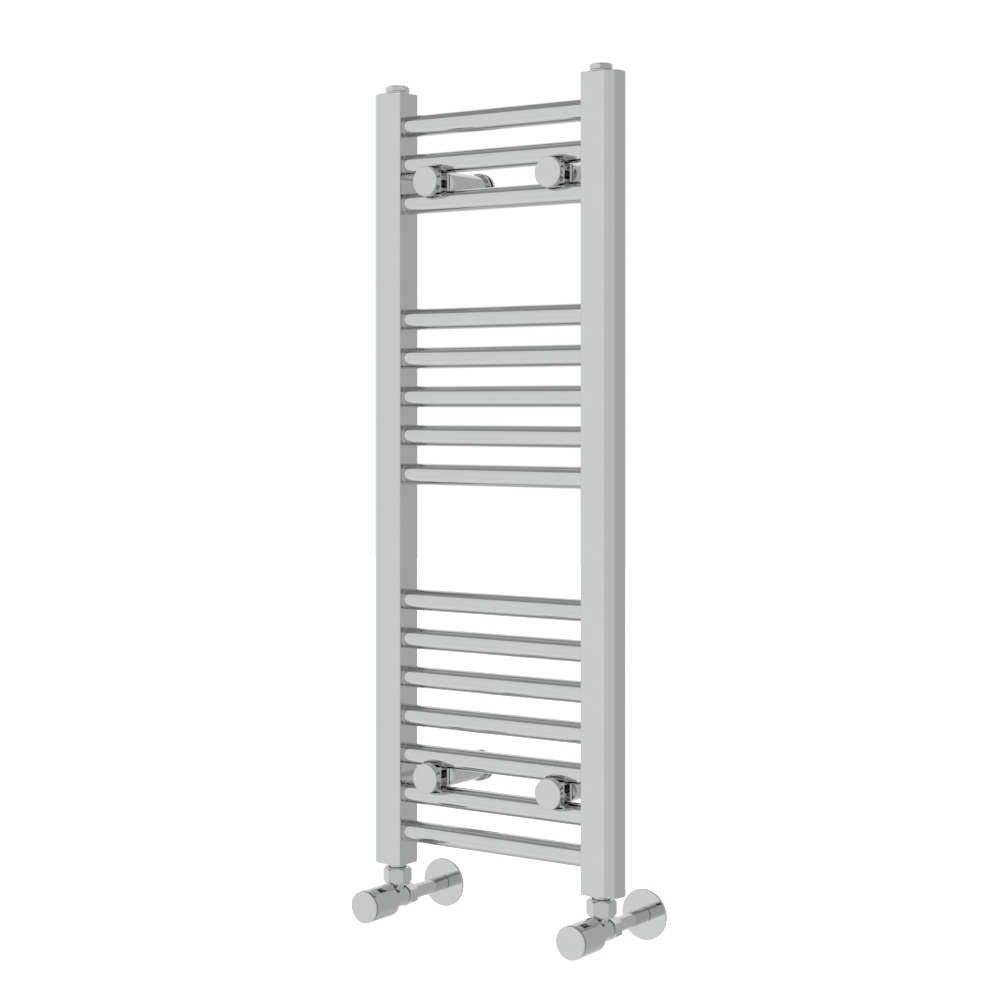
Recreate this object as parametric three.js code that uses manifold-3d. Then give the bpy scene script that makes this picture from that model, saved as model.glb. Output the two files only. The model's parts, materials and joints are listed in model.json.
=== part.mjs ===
// Ladder towel rail with wall brackets and a pair of angled valves.
// Millimetres, +Z up. The wall is the plane Y = 0 and the room lies on the side of -Y.
// The origin is on the wall, midway between the two supply pipes at the height of their axes.
import * as THREE from "three";
import { mergeVertices } from "three/addons/utils/BufferGeometryUtils.js";
import Module from "manifold-3d";

// ---- Driving dimensions -------------------------------------------------------------------

const GAP = 0.3; // clearance between pieces that touch or screw together

const RAIL = {
  height: 800, // uprights, end to end
  width: 300, // over the outsides of both uprights
  wallToAxis: 82.5, // wall to the axes of the bars and valves
  aboveSupply: 36, // underside of the uprights above the supply pipes
};

const UPRIGHT = {
  width: 40, // across the rail: a flat inner side and a half-round outer side
  depth: 30, // front to back
  wall: 1.5,
  corner: 1, // rounding of the two inner edges
  endEdge: 0.8, // bevel round both ends
  endPlate: 3,
  bossInset: 15, // axis of the end sockets, from the flat inner side
  bossWall: 2,
  bossLength: 12, // beyond the end plate
};

const BAR = {
  diameter: 22,
  wall: 1.2,
  pitch: 40, // within a group
  endMargin: 35, // first and last bar, from the ends of the uprights
  entry: 5, // past the inside of the upright's wall
};
const BAR_GROUPS = [3, 5, 7]; // from the top down
const MIDDLE_GROUP_RAISE = 5; // above the middle of the room left for it

// Screwed plugs in the tops of the uprights, and the sockets they and the valve tails share.
const SOCKET_THREAD = 20.4; // outer diameter of what screws into an upright
const PLUG = {
  threadLength: 10,
  flange: 24.6,
  flangeHeight: 2,
  head: 21.5, // across flats
  headHeight: 5.8,
  headChamfer: 0.8,
  ventTurn: 15.5, // degrees that each head has stopped at; at 30 a flat faces forward
  blankTurn: 25,
};
const BLEED = { thread: 5, recess: 9, recessDepth: 5, head: 4, headHeight: 3, slack: 0.8 };

const BRACKET = {
  inset: 35, // axes of the brackets, from the inner sides of the uprights
  upperAfterBar: 2, // the upper pair holds this bar and the next
  lowerAfterBar: 13,
  capStandOff: 9, // front of the cap, in front of the bars
  capOverlap: 6.25, // how far the cap reaches over each bar
  capLength: 8,
  capEdge: 0.8,
  noseOverlap: 2.5, // how far the square noses, in between the bars, reach over each bar
  frontNoseRear: 7, // rear end of the cap's nose, in front of the bars' axes
  armNose: 6.5, // from the front of the round arm
  armNoseLength: 3.7, // the rest of it is a narrower square neck
  armNeckInset: 1, // of the neck, on each side of the room between two bars
  armLap: 1.5, // how far the round arm reaches past the backs of the bars
  arm: 27,
  armChamfer: 2.9, // flats at 45 degrees on both sides of the arm's front end
  armBore: 20,
  armWeb: 13, // solid front end of the arm
  collar: 32.5,
  collarLength: 3,
  adjustment: 3.5, // open groove between collar and wall cup
  cupBase: 3,
  stemRoom: 13.2, // between the cup's stem and the clamp screw's head
  cupBore: 14,
  wallScrewHole: 5.5,
  screw: 8,
  screwHead: 13,
  screwHeadLength: 5.5,
  screwSocket: 5.8, // hexagon socket, across corners
  screwSocketDepth: 3,
  screwEntry: 8.5, // into the cap
  screwRunout: 1, // free end of the screw's hole
  grubScrew: 4.4,
  grubSetback: 5, // behind the collar
};

// Along the valve's level axis, measured from its upright axis towards the room.
const VALVE = {
  shoulder: 1.5, // step from the thread under the compression nut up to the barrel
  barrelFront: 20,
  barrelRear: -8.7,
  stubEnd: -17,
  pipeStop: -8,
  seatFace: -5,
  seatBore: 8.4,
  chamberWall: 3,
  chamberFront: 12,
  frontWall: 1.7, // round the headwork's thread
  neck: 14, // upright outlet
  neckBore: 9.6,
  neckThread: 20.6,
  neckThreadFrom: 16,
  neckTop: 24.5,
};
const UNION = {
  wall: 2.4, // round the neck's thread, at the flats
  aboveBarrel: 3.9, // underside of the nut
  top: 31.9, // above the supply pipes
  topStep: 0.4, // the end faces are this much smaller all round than the flats
  topChamfer: 2.6,
  bottomStep: 1.2,
  bottomChamfer: 4,
  shoulder: 3.2,
  mouth: 1.8, // how much wider the nut's top hole is than the tail
  tail: 17,
  tailBore: 12,
  tailFlange: 2.6,
  tailThread: 11,
};
const HEADWORK = {
  flangeStep: 0.2, // from the barrel in to the flange
  flangeLength: 3.7,
  neckStep: 1, // from the thread in to the neck
  front: 34,
  stemRoom: 10,
  stemRoomEnd: 18,
};
const SPINDLE = { nose: 4.6, noseEnd: 4, shaft: 6, shaftFront: 40, square: 5, front: 50 };
const JUMPER = { play: 1.5, thickness: 3, stemPlay: 0.5, stemFront: 14, floor: 4.2 };
const KNOB = {
  room: 3.8, // round the barrel
  rear: 17,
  front: 56.6,
  frontWall: 6,
  wall: 2.7,
  rearEdge: 1.5,
  frontEdge: 0.9,
  groove: 0.8,
  grooveDepth: 1.2,
  discThickness: 1.9, // in front of the groove
  hub: 13,
  hubRear: 38,
  hubMouth: 0.6, // how much wider all round the hub's mouth is than the spindle
  capHubWall: 2,
  capHubRear: 26,
};
const COMPRESSION = { wall: 2.025, length: 13, chamfer: 1, faceStep: 0.15, rearWall: 2.4 };
const PIPE = { diameter: 15, wall: 1, olive: 1, oliveLength: 2, oliveEdge: 0.5 };
const COVER = { diameter: 51.2, thickness: 2.1, edge: 0.6 };

// How finely round shapes are divided.
const FACETS = { bar: 16, upright: 10, large: 20, medium: 16, small: 12 };

// ---- Values worked out from them ----------------------------------------------------------

const INNER_FACE = RAIL.width / 2 - UPRIGHT.width;
const PIPE_X = INNER_FACE + UPRIGHT.bossInset;
const RAIL_TOP = RAIL.aboveSupply + RAIL.height;
const BAR_LENGTH = 2 * (INNER_FACE + UPRIGHT.wall + BAR.entry);

// Valve diameters, from the pipe outwards.
const OLIVE = PIPE.diameter + 2 * PIPE.olive;
const STUB = OLIVE; // thread under the compression nut
const COMPRESSION_FLATS = STUB + 2 * GAP + 2 * COMPRESSION.wall;
const BARREL = STUB + 2 * VALVE.shoulder;
const CHAMBER = BARREL - 2 * VALVE.chamberWall;
const HEADWORK_THREAD = BARREL - 2 * (VALVE.frontWall + GAP);
const HEADWORK_NECK = HEADWORK_THREAD - 2 * HEADWORK.neckStep;
const KNOB_INSIDE = BARREL + 2 * KNOB.room;
const KNOB_DIAMETER = KNOB_INSIDE + 2 * KNOB.wall;
const UNION_FLATS = VALVE.neckThread + 2 * GAP + 2 * UNION.wall;
const UNION_BOTTOM = BARREL / 2 + UNION.aboveBarrel;
const NUT_FRONT = VALVE.barrelRear - GAP;
const NUT_REAR = NUT_FRONT - COMPRESSION.length;

// Bracket diameters, from the room between two bars, and distances from the wall.
const BAR_SPACE = BAR.pitch - BAR.diameter;
const BRACKET_CAP = BAR_SPACE + 2 * BRACKET.capOverlap;
const BRACKET_NOSE = BAR_SPACE + 2 * BRACKET.noseOverlap;
const CAP_FRONT = RAIL.wallToAxis + BAR.diameter / 2 + BRACKET.capStandOff;
const ARM_FRONT = RAIL.wallToAxis - BAR.diameter / 2 + BRACKET.armLap;

// Heights of the bars' axes, from the top down. The middle group fills what the others leave.
function barHeights() {
  const [upper, middle, lower] = BAR_GROUPS;
  const column = (first, count) =>
    Array.from({ length: count }, (_, i) => first - i * BAR.pitch);
  const top = column(RAIL_TOP - BAR.endMargin, upper);
  const lowest = RAIL.aboveSupply + BAR.endMargin;
  const bottom = column(lowest + (lower - 1) * BAR.pitch, lower);
  const centre = (top.at(-1) + bottom[0]) / 2 + MIDDLE_GROUP_RAISE;
  const between = column(centre + ((middle - 1) / 2) * BAR.pitch, middle);
  return [...top, ...between, ...bottom];
}
const BAR_Z = barHeights();

// ---- Solid helpers ------------------------------------------------------------------------

const wasm = await Module();
wasm.setup();

// A closed geometry as a solid that can be joined and cut.
function solid(geometry) {
  const bare = geometry.index ? geometry.toNonIndexed() : geometry.clone();
  bare.deleteAttribute("normal");
  bare.deleteAttribute("uv");
  const merged = mergeVertices(bare, 1e-4);
  return new wasm.Manifold(
    new wasm.Mesh({
      numProp: 3,
      vertProperties: merged.attributes.position.array,
      triVerts: new Uint32Array(merged.index.array),
    }),
  );
}

function geometryOf(body) {
  const mesh = body.getMesh();
  const indexed = new THREE.BufferGeometry();
  indexed.setAttribute("position", new THREE.BufferAttribute(mesh.vertProperties, 3));
  indexed.setIndex(new THREE.BufferAttribute(mesh.triVerts, 1));
  const flat = indexed.toNonIndexed();
  flat.computeVertexNormals();
  return flat;
}

// A turned body about +Y. Points are [diameter, height], up the outside; a profile that
// doesn't start and end on the axis is closed on itself.
function turned(points, facets) {
  const profile = points.map(([diameter, height]) => new THREE.Vector2(diameter / 2, height));
  const [first, last] = [profile[0], profile.at(-1)];
  if (first.x > 0 || last.x > 0) profile.push(first.clone());
  return new THREE.LatheGeometry(profile, facets);
}

function rod(diameter, from, to, facets) {
  return turned([[0, from], [diameter, from], [diameter, to], [0, to]], facets);
}

// Shapes are turned about +Y. These turn them another way.
const upZ = (geometry) => geometry.rotateX(Math.PI / 2);
const toRoom = (geometry) => geometry.rotateX(Math.PI); // heights run towards -Y
const alongX = (geometry) => geometry.rotateZ(-Math.PI / 2);

// A hexagon bar about +Y, its corners on the Z axis, with both ends turned to a cone.
function hexNut(flats, from, to, fromFace, fromChamfer, toFace, toChamfer) {
  const corners = flats / Math.cos(Math.PI / 6);
  const prism = new THREE.CylinderGeometry(corners / 2, corners / 2, to - from, 6);
  prism.translate(0, (from + to) / 2, 0);
  const cone = turned(
    [
      [0, from],
      [fromFace, from],
      [corners, from + fromChamfer],
      [corners, to - toChamfer],
      [toFace, to],
      [0, to],
    ],
    FACETS.large,
  );
  return solid(prism).intersect(solid(cone));
}

// ---- Materials ----------------------------------------------------------------------------

const finish = (color, roughness, metalness) =>
  new THREE.MeshStandardMaterial({ color, roughness, metalness });
const CHROME = () => finish(0xcbcdce, 0.07, 1);
const CHROMED_BRASS = () => finish(0xc6c8c9, 0.09, 1);
const BRASS = () => finish(0xb5985a, 0.35, 1);
const STEEL = () => finish(0x8d8f92, 0.3, 1);
const PLASTIC_CHROME = () => finish(0xcfd0d1, 0.1, 0.9);

function piece(name, geometry, material) {
  const mesh = new THREE.Mesh(geometry, material);
  mesh.name = name;
  return mesh;
}

// ---- Uprights and bars --------------------------------------------------------------------

// Section of an upright: its flat inner side is on x = inset, and the outer side is a half circle.
function uprightSection(inset) {
  const half = UPRIGHT.depth / 2 - inset;
  const corner = Math.max(UPRIGHT.corner - inset, 0);
  const outer = UPRIGHT.width - UPRIGHT.depth / 2;
  const section = new THREE.Shape();
  section.moveTo(inset + corner, -half);
  section.lineTo(outer, -half);
  section.absarc(outer, 0, half, -Math.PI / 2, Math.PI / 2, false);
  section.lineTo(inset + corner, half);
  if (corner > 0) section.absarc(inset + corner, half - corner, corner, Math.PI / 2, Math.PI, false);
  section.lineTo(inset, corner - half);
  if (corner > 0) section.absarc(inset + corner, corner - half, corner, Math.PI, 1.5 * Math.PI, false);
  return section;
}

function uprightGeometry() {
  const edge = UPRIGHT.endEdge;
  const outside = new THREE.ExtrudeGeometry(uprightSection(0), {
    depth: RAIL.height - 2 * edge,
    curveSegments: FACETS.upright,
    bevelThickness: edge,
    bevelSize: edge,
    bevelOffset: -edge,
    bevelSegments: 1,
  }).translate(0, 0, edge);
  const inside = new THREE.ExtrudeGeometry(uprightSection(UPRIGHT.wall), {
    depth: RAIL.height - 2 * UPRIGHT.endPlate,
    curveSegments: FACETS.upright,
    bevelEnabled: false,
  }).translate(0, 0, UPRIGHT.endPlate);
  const shell = solid(outside);

  const socket = SOCKET_THREAD + 2 * GAP;
  const bossEnd = UPRIGHT.endPlate + UPRIGHT.bossLength;
  const ends = [
    [0, bossEnd],
    [RAIL.height - bossEnd, RAIL.height],
  ];
  let hollow = solid(inside);
  for (const [from, to] of ends) {
    const boss = upZ(rod(socket + 2 * UPRIGHT.bossWall, from, to, FACETS.medium));
    hollow = hollow.subtract(solid(boss.translate(UPRIGHT.bossInset, 0, 0)));
  }
  for (const [from, to] of ends) {
    const bore = upZ(rod(socket, from - GAP, to + GAP, FACETS.medium));
    hollow = hollow.add(solid(bore.translate(UPRIGHT.bossInset, 0, 0)));
  }
  const depth = UPRIGHT.wall + BAR.entry + GAP;
  for (const height of BAR_Z) {
    const hole = alongX(rod(BAR.diameter + 2 * GAP, -GAP, depth, FACETS.bar));
    hollow = hollow.add(solid(hole.translate(0, 0, height - RAIL.aboveSupply)));
  }
  return geometryOf(shell.subtract(hollow));
}

function makeRail() {
  const rail = new THREE.Group();
  rail.position.set(0, -RAIL.wallToAxis, 0);
  const sides = { left: -1, right: 1 };
  for (const [side, sign] of Object.entries(sides)) {
    const upright = piece("upright_" + side, uprightGeometry(), CHROME());
    upright.position.set(sign * INNER_FACE, 0, RAIL.aboveSupply);
    upright.rotation.z = sign > 0 ? 0 : Math.PI;
    rail.add(upright);
  }
  BAR_Z.forEach((height, i) => {
    const bore = BAR.diameter - 2 * BAR.wall;
    const half = BAR_LENGTH / 2;
    const tube = turned(
      [[BAR.diameter, -half], [BAR.diameter, half], [bore, half], [bore, -half]],
      FACETS.bar,
    );
    const bar = piece("bar_" + String(i + 1).padStart(2, "0"), alongX(tube), CHROME());
    bar.position.set(0, 0, height);
    rail.add(bar);
  });
  return rail;
}

// ---- Plugs in the tops of the uprights ----------------------------------------------------

// A plug's outside, its flange resting on the upright at height 0.
function plugBody() {
  const base = PLUG.flangeHeight + GAP;
  const top = base + PLUG.headHeight;
  const thread = rod(SOCKET_THREAD, -PLUG.threadLength, base, FACETS.medium);
  const flange = rod(PLUG.flange, GAP, base, FACETS.large);
  const corners = PLUG.head / Math.cos(Math.PI / 6);
  const prism = new THREE.CylinderGeometry(corners / 2, corners / 2, PLUG.headHeight, 6);
  prism.translate(0, base + PLUG.headHeight / 2, 0);
  const cone = turned(
    [
      [0, base],
      [corners, base],
      [corners, top - 2 * PLUG.headChamfer],
      [PLUG.head - PLUG.headChamfer, top],
      [0, top],
    ],
    FACETS.large,
  );
  const head = solid(prism).intersect(solid(cone));
  return solid(thread).add(solid(flange)).add(head);
}

function makePlugs() {
  const plugs = new THREE.Group();
  plugs.position.set(0, -RAIL.wallToAxis, RAIL_TOP);
  const top = PLUG.flangeHeight + GAP + PLUG.headHeight;

  const blank = piece("blank_plug", upZ(geometryOf(plugBody())), CHROMED_BRASS());
  blank.position.x = PIPE_X;
  blank.rotation.z = THREE.MathUtils.degToRad(PLUG.blankTurn);

  const recess = rod(BLEED.recess, top - BLEED.recessDepth, top + GAP, FACETS.small);
  const bleedBore = rod(BLEED.thread + 2 * GAP, -PLUG.threadLength - GAP, top, FACETS.small);
  const ventBody = plugBody().subtract(solid(recess)).subtract(solid(bleedBore));
  const vent = piece("vent_plug", upZ(geometryOf(ventBody)), CHROMED_BRASS());
  vent.position.x = -PIPE_X;
  vent.rotation.z = THREE.MathUtils.degToRad(PLUG.ventTurn);

  const floor = top - BLEED.recessDepth;
  const shaft = turned(
    [
      [0, -PLUG.threadLength],
      [BLEED.thread / 2, -PLUG.threadLength],
      [BLEED.thread, -PLUG.threadLength + BLEED.thread / 2],
      [BLEED.thread, floor + BLEED.slack],
      [0, floor + BLEED.slack],
    ],
    FACETS.small,
  );
  const square = new THREE.BoxGeometry(BLEED.head, BLEED.headHeight + BLEED.slack, BLEED.head);
  square.translate(0, floor + (BLEED.headHeight + BLEED.slack) / 2, 0);
  const bleed = piece("bleed_screw", upZ(geometryOf(solid(shaft).add(solid(square)))), BRASS());
  bleed.position.x = -PIPE_X;

  plugs.add(vent, bleed, blank);
  return plugs;
}

// ---- Wall brackets ------------------------------------------------------------------------

// The two bars that a bracket grips, with clearance, for cutting its saddles.
function grippedBars(half) {
  const cut = (side) =>
    solid(
      alongX(rod(BAR.diameter + 2 * GAP, -BRACKET.collar, BRACKET.collar, FACETS.bar)).translate(
        0,
        RAIL.wallToAxis,
        side * half,
      ),
    );
  return cut(-1).add(cut(1));
}

function makeBracket(name, x, upperBar, lowerBar) {
  const B = BRACKET;
  const bracket = new THREE.Group();
  bracket.position.set(x, 0, (upperBar + lowerBar) / 2);
  const bars = grippedBars((upperBar - lowerBar) / 2);
  const clear = (diameter) => diameter + 2 * GAP;
  const block = (width, rear, front) =>
    solid(new THREE.BoxGeometry(width, front - rear, width).translate(0, (rear + front) / 2, 0));
  const add = (part, geometry, material) =>
    bracket.add(piece("bracket_" + name + "_" + part, toRoom(geometry), material));

  const capBack = CAP_FRONT - B.capLength;
  const noseBack = RAIL.wallToAxis + B.frontNoseRear;
  const screwTip = noseBack + B.screwEntry;
  const holeEnd = screwTip + B.screwRunout;
  const cap = turned(
    [
      [0, capBack],
      [BRACKET_CAP, capBack],
      [BRACKET_CAP, CAP_FRONT - B.capEdge],
      [BRACKET_CAP - 2 * B.capEdge, CAP_FRONT],
      [0, CAP_FRONT],
    ],
    FACETS.medium,
  );
  const screwHole = (rear, front) => solid(rod(clear(B.screw), rear, front, FACETS.small));
  const clamp = solid(cap)
    .add(block(BRACKET_NOSE, noseBack, capBack))
    .subtract(bars)
    .subtract(screwHole(noseBack - GAP, holeEnd));
  add("front_clamp", geometryOf(clamp), CHROMED_BRASS());

  const collarRear = B.cupBase + B.adjustment;
  const collarFront = collarRear + B.collarLength;
  const noseFront = ARM_FRONT + B.armNose;
  const noseRear = noseFront - B.armNoseLength;
  const webRear = ARM_FRONT - B.armWeb;
  const armShape = turned(
    [
      [B.collar, collarRear],
      [B.collar, collarFront],
      [B.arm, collarFront],
      [B.arm, ARM_FRONT],
      [0, ARM_FRONT],
      [0, webRear],
      [B.armBore, webRear],
      [B.armBore, collarRear],
    ],
    FACETS.medium,
  );
  const reach = B.arm / 2 + ARM_FRONT - B.armChamfer;
  const shoulders = new THREE.CylinderGeometry(reach, reach, 2 * B.collar, 4);
  shoulders.rotateX(Math.PI / 2);
  const grubAt = collarFront + B.grubSetback;
  const grubHole = new THREE.CylinderGeometry(
    clear(B.grubScrew) / 2,
    clear(B.grubScrew) / 2,
    B.collar,
    FACETS.small,
  );
  grubHole.rotateX(Math.PI / 2).translate(0, grubAt, B.collar / 2);
  const arm = solid(armShape)
    .intersect(solid(shoulders))
    .add(block(BAR_SPACE - 2 * B.armNeckInset, ARM_FRONT, noseRear))
    .add(block(BRACKET_NOSE, noseRear, noseFront))
    .subtract(bars)
    .subtract(screwHole(webRear - GAP, noseFront + GAP))
    .subtract(solid(grubHole));
  add("arm", geometryOf(arm), CHROMED_BRASS());

  const grubLength = (B.arm - B.armBore) / 2 - GAP;
  const grub = new THREE.CylinderGeometry(
    B.grubScrew / 2,
    B.grubScrew / 2,
    grubLength,
    FACETS.small,
  );
  grub.rotateX(Math.PI / 2).translate(0, grubAt, (B.arm + B.armBore) / 4);
  add("grub_screw", grub, STEEL());

  const headFront = webRear - GAP;
  const headRear = headFront - B.screwHeadLength;
  const screwShape = turned(
    [
      [0, headRear],
      [B.screwHead, headRear],
      [B.screwHead, headFront],
      [B.screw, headFront],
      [B.screw, screwTip],
      [0, screwTip],
    ],
    FACETS.small,
  );
  const socket = new THREE.CylinderGeometry(
    B.screwSocket / 2,
    B.screwSocket / 2,
    2 * B.screwSocketDepth,
    6,
  ).translate(0, headRear, 0);
  add("clamp_screw", geometryOf(solid(screwShape).subtract(solid(socket))), STEEL());

  const stem = B.armBore - 2 * GAP;
  const stemEnd = headRear - B.stemRoom;
  const cup = turned(
    [
      [B.wallScrewHole, 0],
      [B.collar, 0],
      [B.collar, B.cupBase],
      [stem, B.cupBase],
      [stem, stemEnd],
      [B.cupBore, stemEnd],
      [B.cupBore, B.cupBase],
      [B.wallScrewHole, B.cupBase],
    ],
    FACETS.medium,
  );
  add("wall_cup", cup, CHROMED_BRASS());
  return bracket;
}

function makeBrackets() {
  const brackets = new THREE.Group();
  const rows = { top: BRACKET.upperAfterBar, bottom: BRACKET.lowerAfterBar };
  const sides = { left: -1, right: 1 };
  for (const [row, after] of Object.entries(rows))
    for (const [side, sign] of Object.entries(sides)) {
      const x = sign * (INNER_FACE - BRACKET.inset);
      brackets.add(makeBracket(row + "_" + side, x, BAR_Z[after - 1], BAR_Z[after]));
    }
  return brackets;
}

// ---- Valves -------------------------------------------------------------------------------

function valveBody() {
  const V = VALVE;
  const barrel = turned(
    [
      [0, V.stubEnd],
      [STUB, V.stubEnd],
      [STUB, V.barrelRear],
      [BARREL, V.barrelRear],
      [BARREL, V.barrelFront],
      [0, V.barrelFront],
    ],
    FACETS.large,
  );
  const neck = turned(
    [
      [0, 0],
      [V.neck, 0],
      [V.neck, V.neckThreadFrom],
      [V.neckThread, V.neckThreadFrom],
      [V.neckThread, V.neckTop],
      [0, V.neckTop],
    ],
    FACETS.medium,
  );
  const passage = turned(
    [
      [0, V.stubEnd - GAP],
      [PIPE.diameter + 2 * GAP, V.stubEnd - GAP],
      [PIPE.diameter + 2 * GAP, V.pipeStop],
      [V.seatBore, V.pipeStop],
      [V.seatBore, V.seatFace],
      [CHAMBER, V.seatFace],
      [CHAMBER, V.chamberFront],
      [HEADWORK_THREAD + 2 * GAP, V.chamberFront],
      [HEADWORK_THREAD + 2 * GAP, V.barrelFront + GAP],
      [0, V.barrelFront + GAP],
    ],
    FACETS.medium,
  );
  const outlet = rod(V.neckBore, 0, V.neckTop + GAP, FACETS.small);
  return geometryOf(
    solid(toRoom(barrel))
      .add(solid(upZ(neck)))
      .subtract(solid(toRoom(passage)))
      .subtract(solid(upZ(outlet))),
  );
}

function tailGeometry() {
  const U = UNION;
  const seat = VALVE.neckTop + GAP;
  const flangeTop = seat + U.tailFlange;
  const underRail = RAIL.aboveSupply + GAP;
  const top = underRail + U.tailThread;
  return turned(
    [
      [U.tailBore, seat],
      [VALVE.neckThread, seat],
      [VALVE.neckThread, flangeTop],
      [U.tail, flangeTop],
      [U.tail, underRail],
      [SOCKET_THREAD, underRail],
      [SOCKET_THREAD, top],
      [U.tailBore, top],
    ],
    FACETS.medium,
  );
}

function unionNut() {
  const U = UNION;
  const nut = hexNut(
    UNION_FLATS,
    UNION_BOTTOM,
    U.top,
    UNION_FLATS - 2 * U.bottomStep,
    U.bottomChamfer,
    UNION_FLATS - 2 * U.topStep,
    U.topChamfer,
  );
  const threadBore = VALVE.neckThread + 2 * GAP;
  const bore = turned(
    [
      [0, UNION_BOTTOM - GAP],
      [threadBore, UNION_BOTTOM - GAP],
      [threadBore, U.top - U.shoulder],
      [U.tail + U.mouth, U.top - U.shoulder],
      [U.tail + U.mouth, U.top + GAP],
      [0, U.top + GAP],
    ],
    FACETS.medium,
  );
  return geometryOf(nut.subtract(solid(bore)));
}

function headworkGeometry() {
  const H = HEADWORK;
  const rear = VALVE.chamberFront + GAP;
  const flangeRear = VALVE.barrelFront + GAP;
  const flangeFront = flangeRear + H.flangeLength;
  const flange = BARREL - 2 * H.flangeStep;
  const bore = SPINDLE.shaft + 2 * GAP;
  return turned(
    [
      [HEADWORK_THREAD, rear],
      [HEADWORK_THREAD, flangeRear],
      [flange, flangeRear],
      [flange, flangeFront],
      [HEADWORK_NECK, flangeFront],
      [HEADWORK_NECK, H.front],
      [bore, H.front],
      [bore, H.stemRoomEnd],
      [H.stemRoom, H.stemRoomEnd],
      [H.stemRoom, rear],
    ],
    FACETS.small,
  );
}

function spindleGeometry() {
  const S = SPINDLE;
  const shoulder = HEADWORK.stemRoomEnd + GAP;
  const shaft = turned(
    [
      [0, S.noseEnd],
      [S.nose, S.noseEnd],
      [S.nose, shoulder],
      [S.shaft, shoulder],
      [S.shaft, S.shaftFront],
      [0, S.shaftFront],
    ],
    FACETS.small,
  );
  const overlap = 1;
  const length = S.front - S.shaftFront + overlap;
  const square = new THREE.BoxGeometry(S.square, length, S.square);
  square.translate(0, S.front - length / 2, 0);
  return geometryOf(solid(shaft).add(solid(square)));
}

// The disc that closes the seat, with the hollow stem that the spindle's nose screws into.
function jumperGeometry() {
  const J = JUMPER;
  const back = VALVE.seatFace + GAP;
  const disc = CHAMBER - 2 * J.play;
  const stem = HEADWORK.stemRoom - 2 * J.stemPlay;
  const stemBore = SPINDLE.nose + 2 * GAP;
  return turned(
    [
      [0, back],
      [disc, back],
      [disc, back + J.thickness],
      [stem, back + J.thickness],
      [stem, J.stemFront],
      [stemBore, J.stemFront],
      [stemBore, back + J.floor],
      [0, back + J.floor],
    ],
    FACETS.small,
  );
}

// Outside and hollow shared by the handwheel and the lockshield cap, with a solid front wall.
function knobShell() {
  const K = KNOB;
  const grooveFront = K.front - K.discThickness;
  const shell = turned(
    [
      [KNOB_INSIDE, K.rear],
      [KNOB_DIAMETER - 2 * K.rearEdge, K.rear],
      [KNOB_DIAMETER, K.rear + K.rearEdge],
      [KNOB_DIAMETER, grooveFront - K.groove],
      [KNOB_DIAMETER - 2 * K.grooveDepth, grooveFront - K.groove],
      [KNOB_DIAMETER - 2 * K.grooveDepth, grooveFront],
      [KNOB_DIAMETER, grooveFront],
      [KNOB_DIAMETER, K.front - K.frontEdge],
      [KNOB_DIAMETER - 2 * K.frontEdge, K.front],
      [0, K.front],
      [0, K.front - K.frontWall],
      [KNOB_INSIDE, K.front - K.frontWall],
    ],
    FACETS.large,
  );
  return solid(shell);
}

// The handwheel's hub has a square socket that turns the spindle.
function handwheelGeometry() {
  const inside = KNOB.front - KNOB.frontWall;
  const hub = rod(KNOB.hub, KNOB.hubRear, inside + GAP, FACETS.small);
  const side = SPINDLE.square + 2 * GAP;
  const socketFront = SPINDLE.front + GAP;
  const length = socketFront - KNOB.hubRear + GAP;
  const socket = new THREE.BoxGeometry(side, length, side);
  socket.translate(0, socketFront - length / 2, 0);
  const mouthEnd = SPINDLE.shaftFront + GAP;
  const mouthWidth = SPINDLE.shaft + 2 * KNOB.hubMouth;
  const mouth = rod(mouthWidth, KNOB.hubRear - GAP, mouthEnd, FACETS.small);
  return geometryOf(knobShell().add(solid(hub)).subtract(solid(socket)).subtract(solid(mouth)));
}

// The lockshield cap has no drive: its hub only pushes on over the neck of the headwork.
function lockCapGeometry() {
  const inside = KNOB.front - KNOB.frontWall;
  const bore = HEADWORK_NECK + 2 * GAP;
  const hub = turned(
    [
      [bore, KNOB.capHubRear],
      [bore + 2 * KNOB.capHubWall, KNOB.capHubRear],
      [bore + 2 * KNOB.capHubWall, inside + GAP],
      [bore, inside + GAP],
    ],
    FACETS.small,
  );
  return geometryOf(knobShell().add(solid(hub)));
}

function compressionNut() {
  const C = COMPRESSION;
  const flats = COMPRESSION_FLATS;
  const face = flats - 2 * C.faceStep;
  const nut = hexNut(flats, NUT_REAR, NUT_FRONT, face, C.chamfer, face, C.chamfer);
  const bore = turned(
    [
      [0, NUT_REAR - GAP],
      [PIPE.diameter + 2 * GAP, NUT_REAR - GAP],
      [PIPE.diameter + 2 * GAP, NUT_REAR + C.rearWall],
      [STUB + 2 * GAP, NUT_REAR + C.rearWall],
      [STUB + 2 * GAP, NUT_FRONT + GAP],
      [0, NUT_FRONT + GAP],
    ],
    FACETS.medium,
  );
  return geometryOf(nut.subtract(solid(bore)));
}

// The supply pipe, from its stop inside the valve to the wall, with the olive gripped on it.
function pipeGeometry() {
  const P = PIPE;
  const front = VALVE.pipeStop - GAP;
  const oliveFront = VALVE.stubEnd - GAP;
  const oliveRear = oliveFront - P.oliveLength;
  const bore = P.diameter - 2 * P.wall;
  return turned(
    [
      [P.diameter, -RAIL.wallToAxis],
      [P.diameter, oliveRear],
      [OLIVE, oliveRear + P.oliveEdge],
      [OLIVE, oliveFront - P.oliveEdge],
      [P.diameter, oliveFront],
      [P.diameter, front],
      [bore, front],
      [bore, -RAIL.wallToAxis],
    ],
    FACETS.medium,
  );
}

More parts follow.
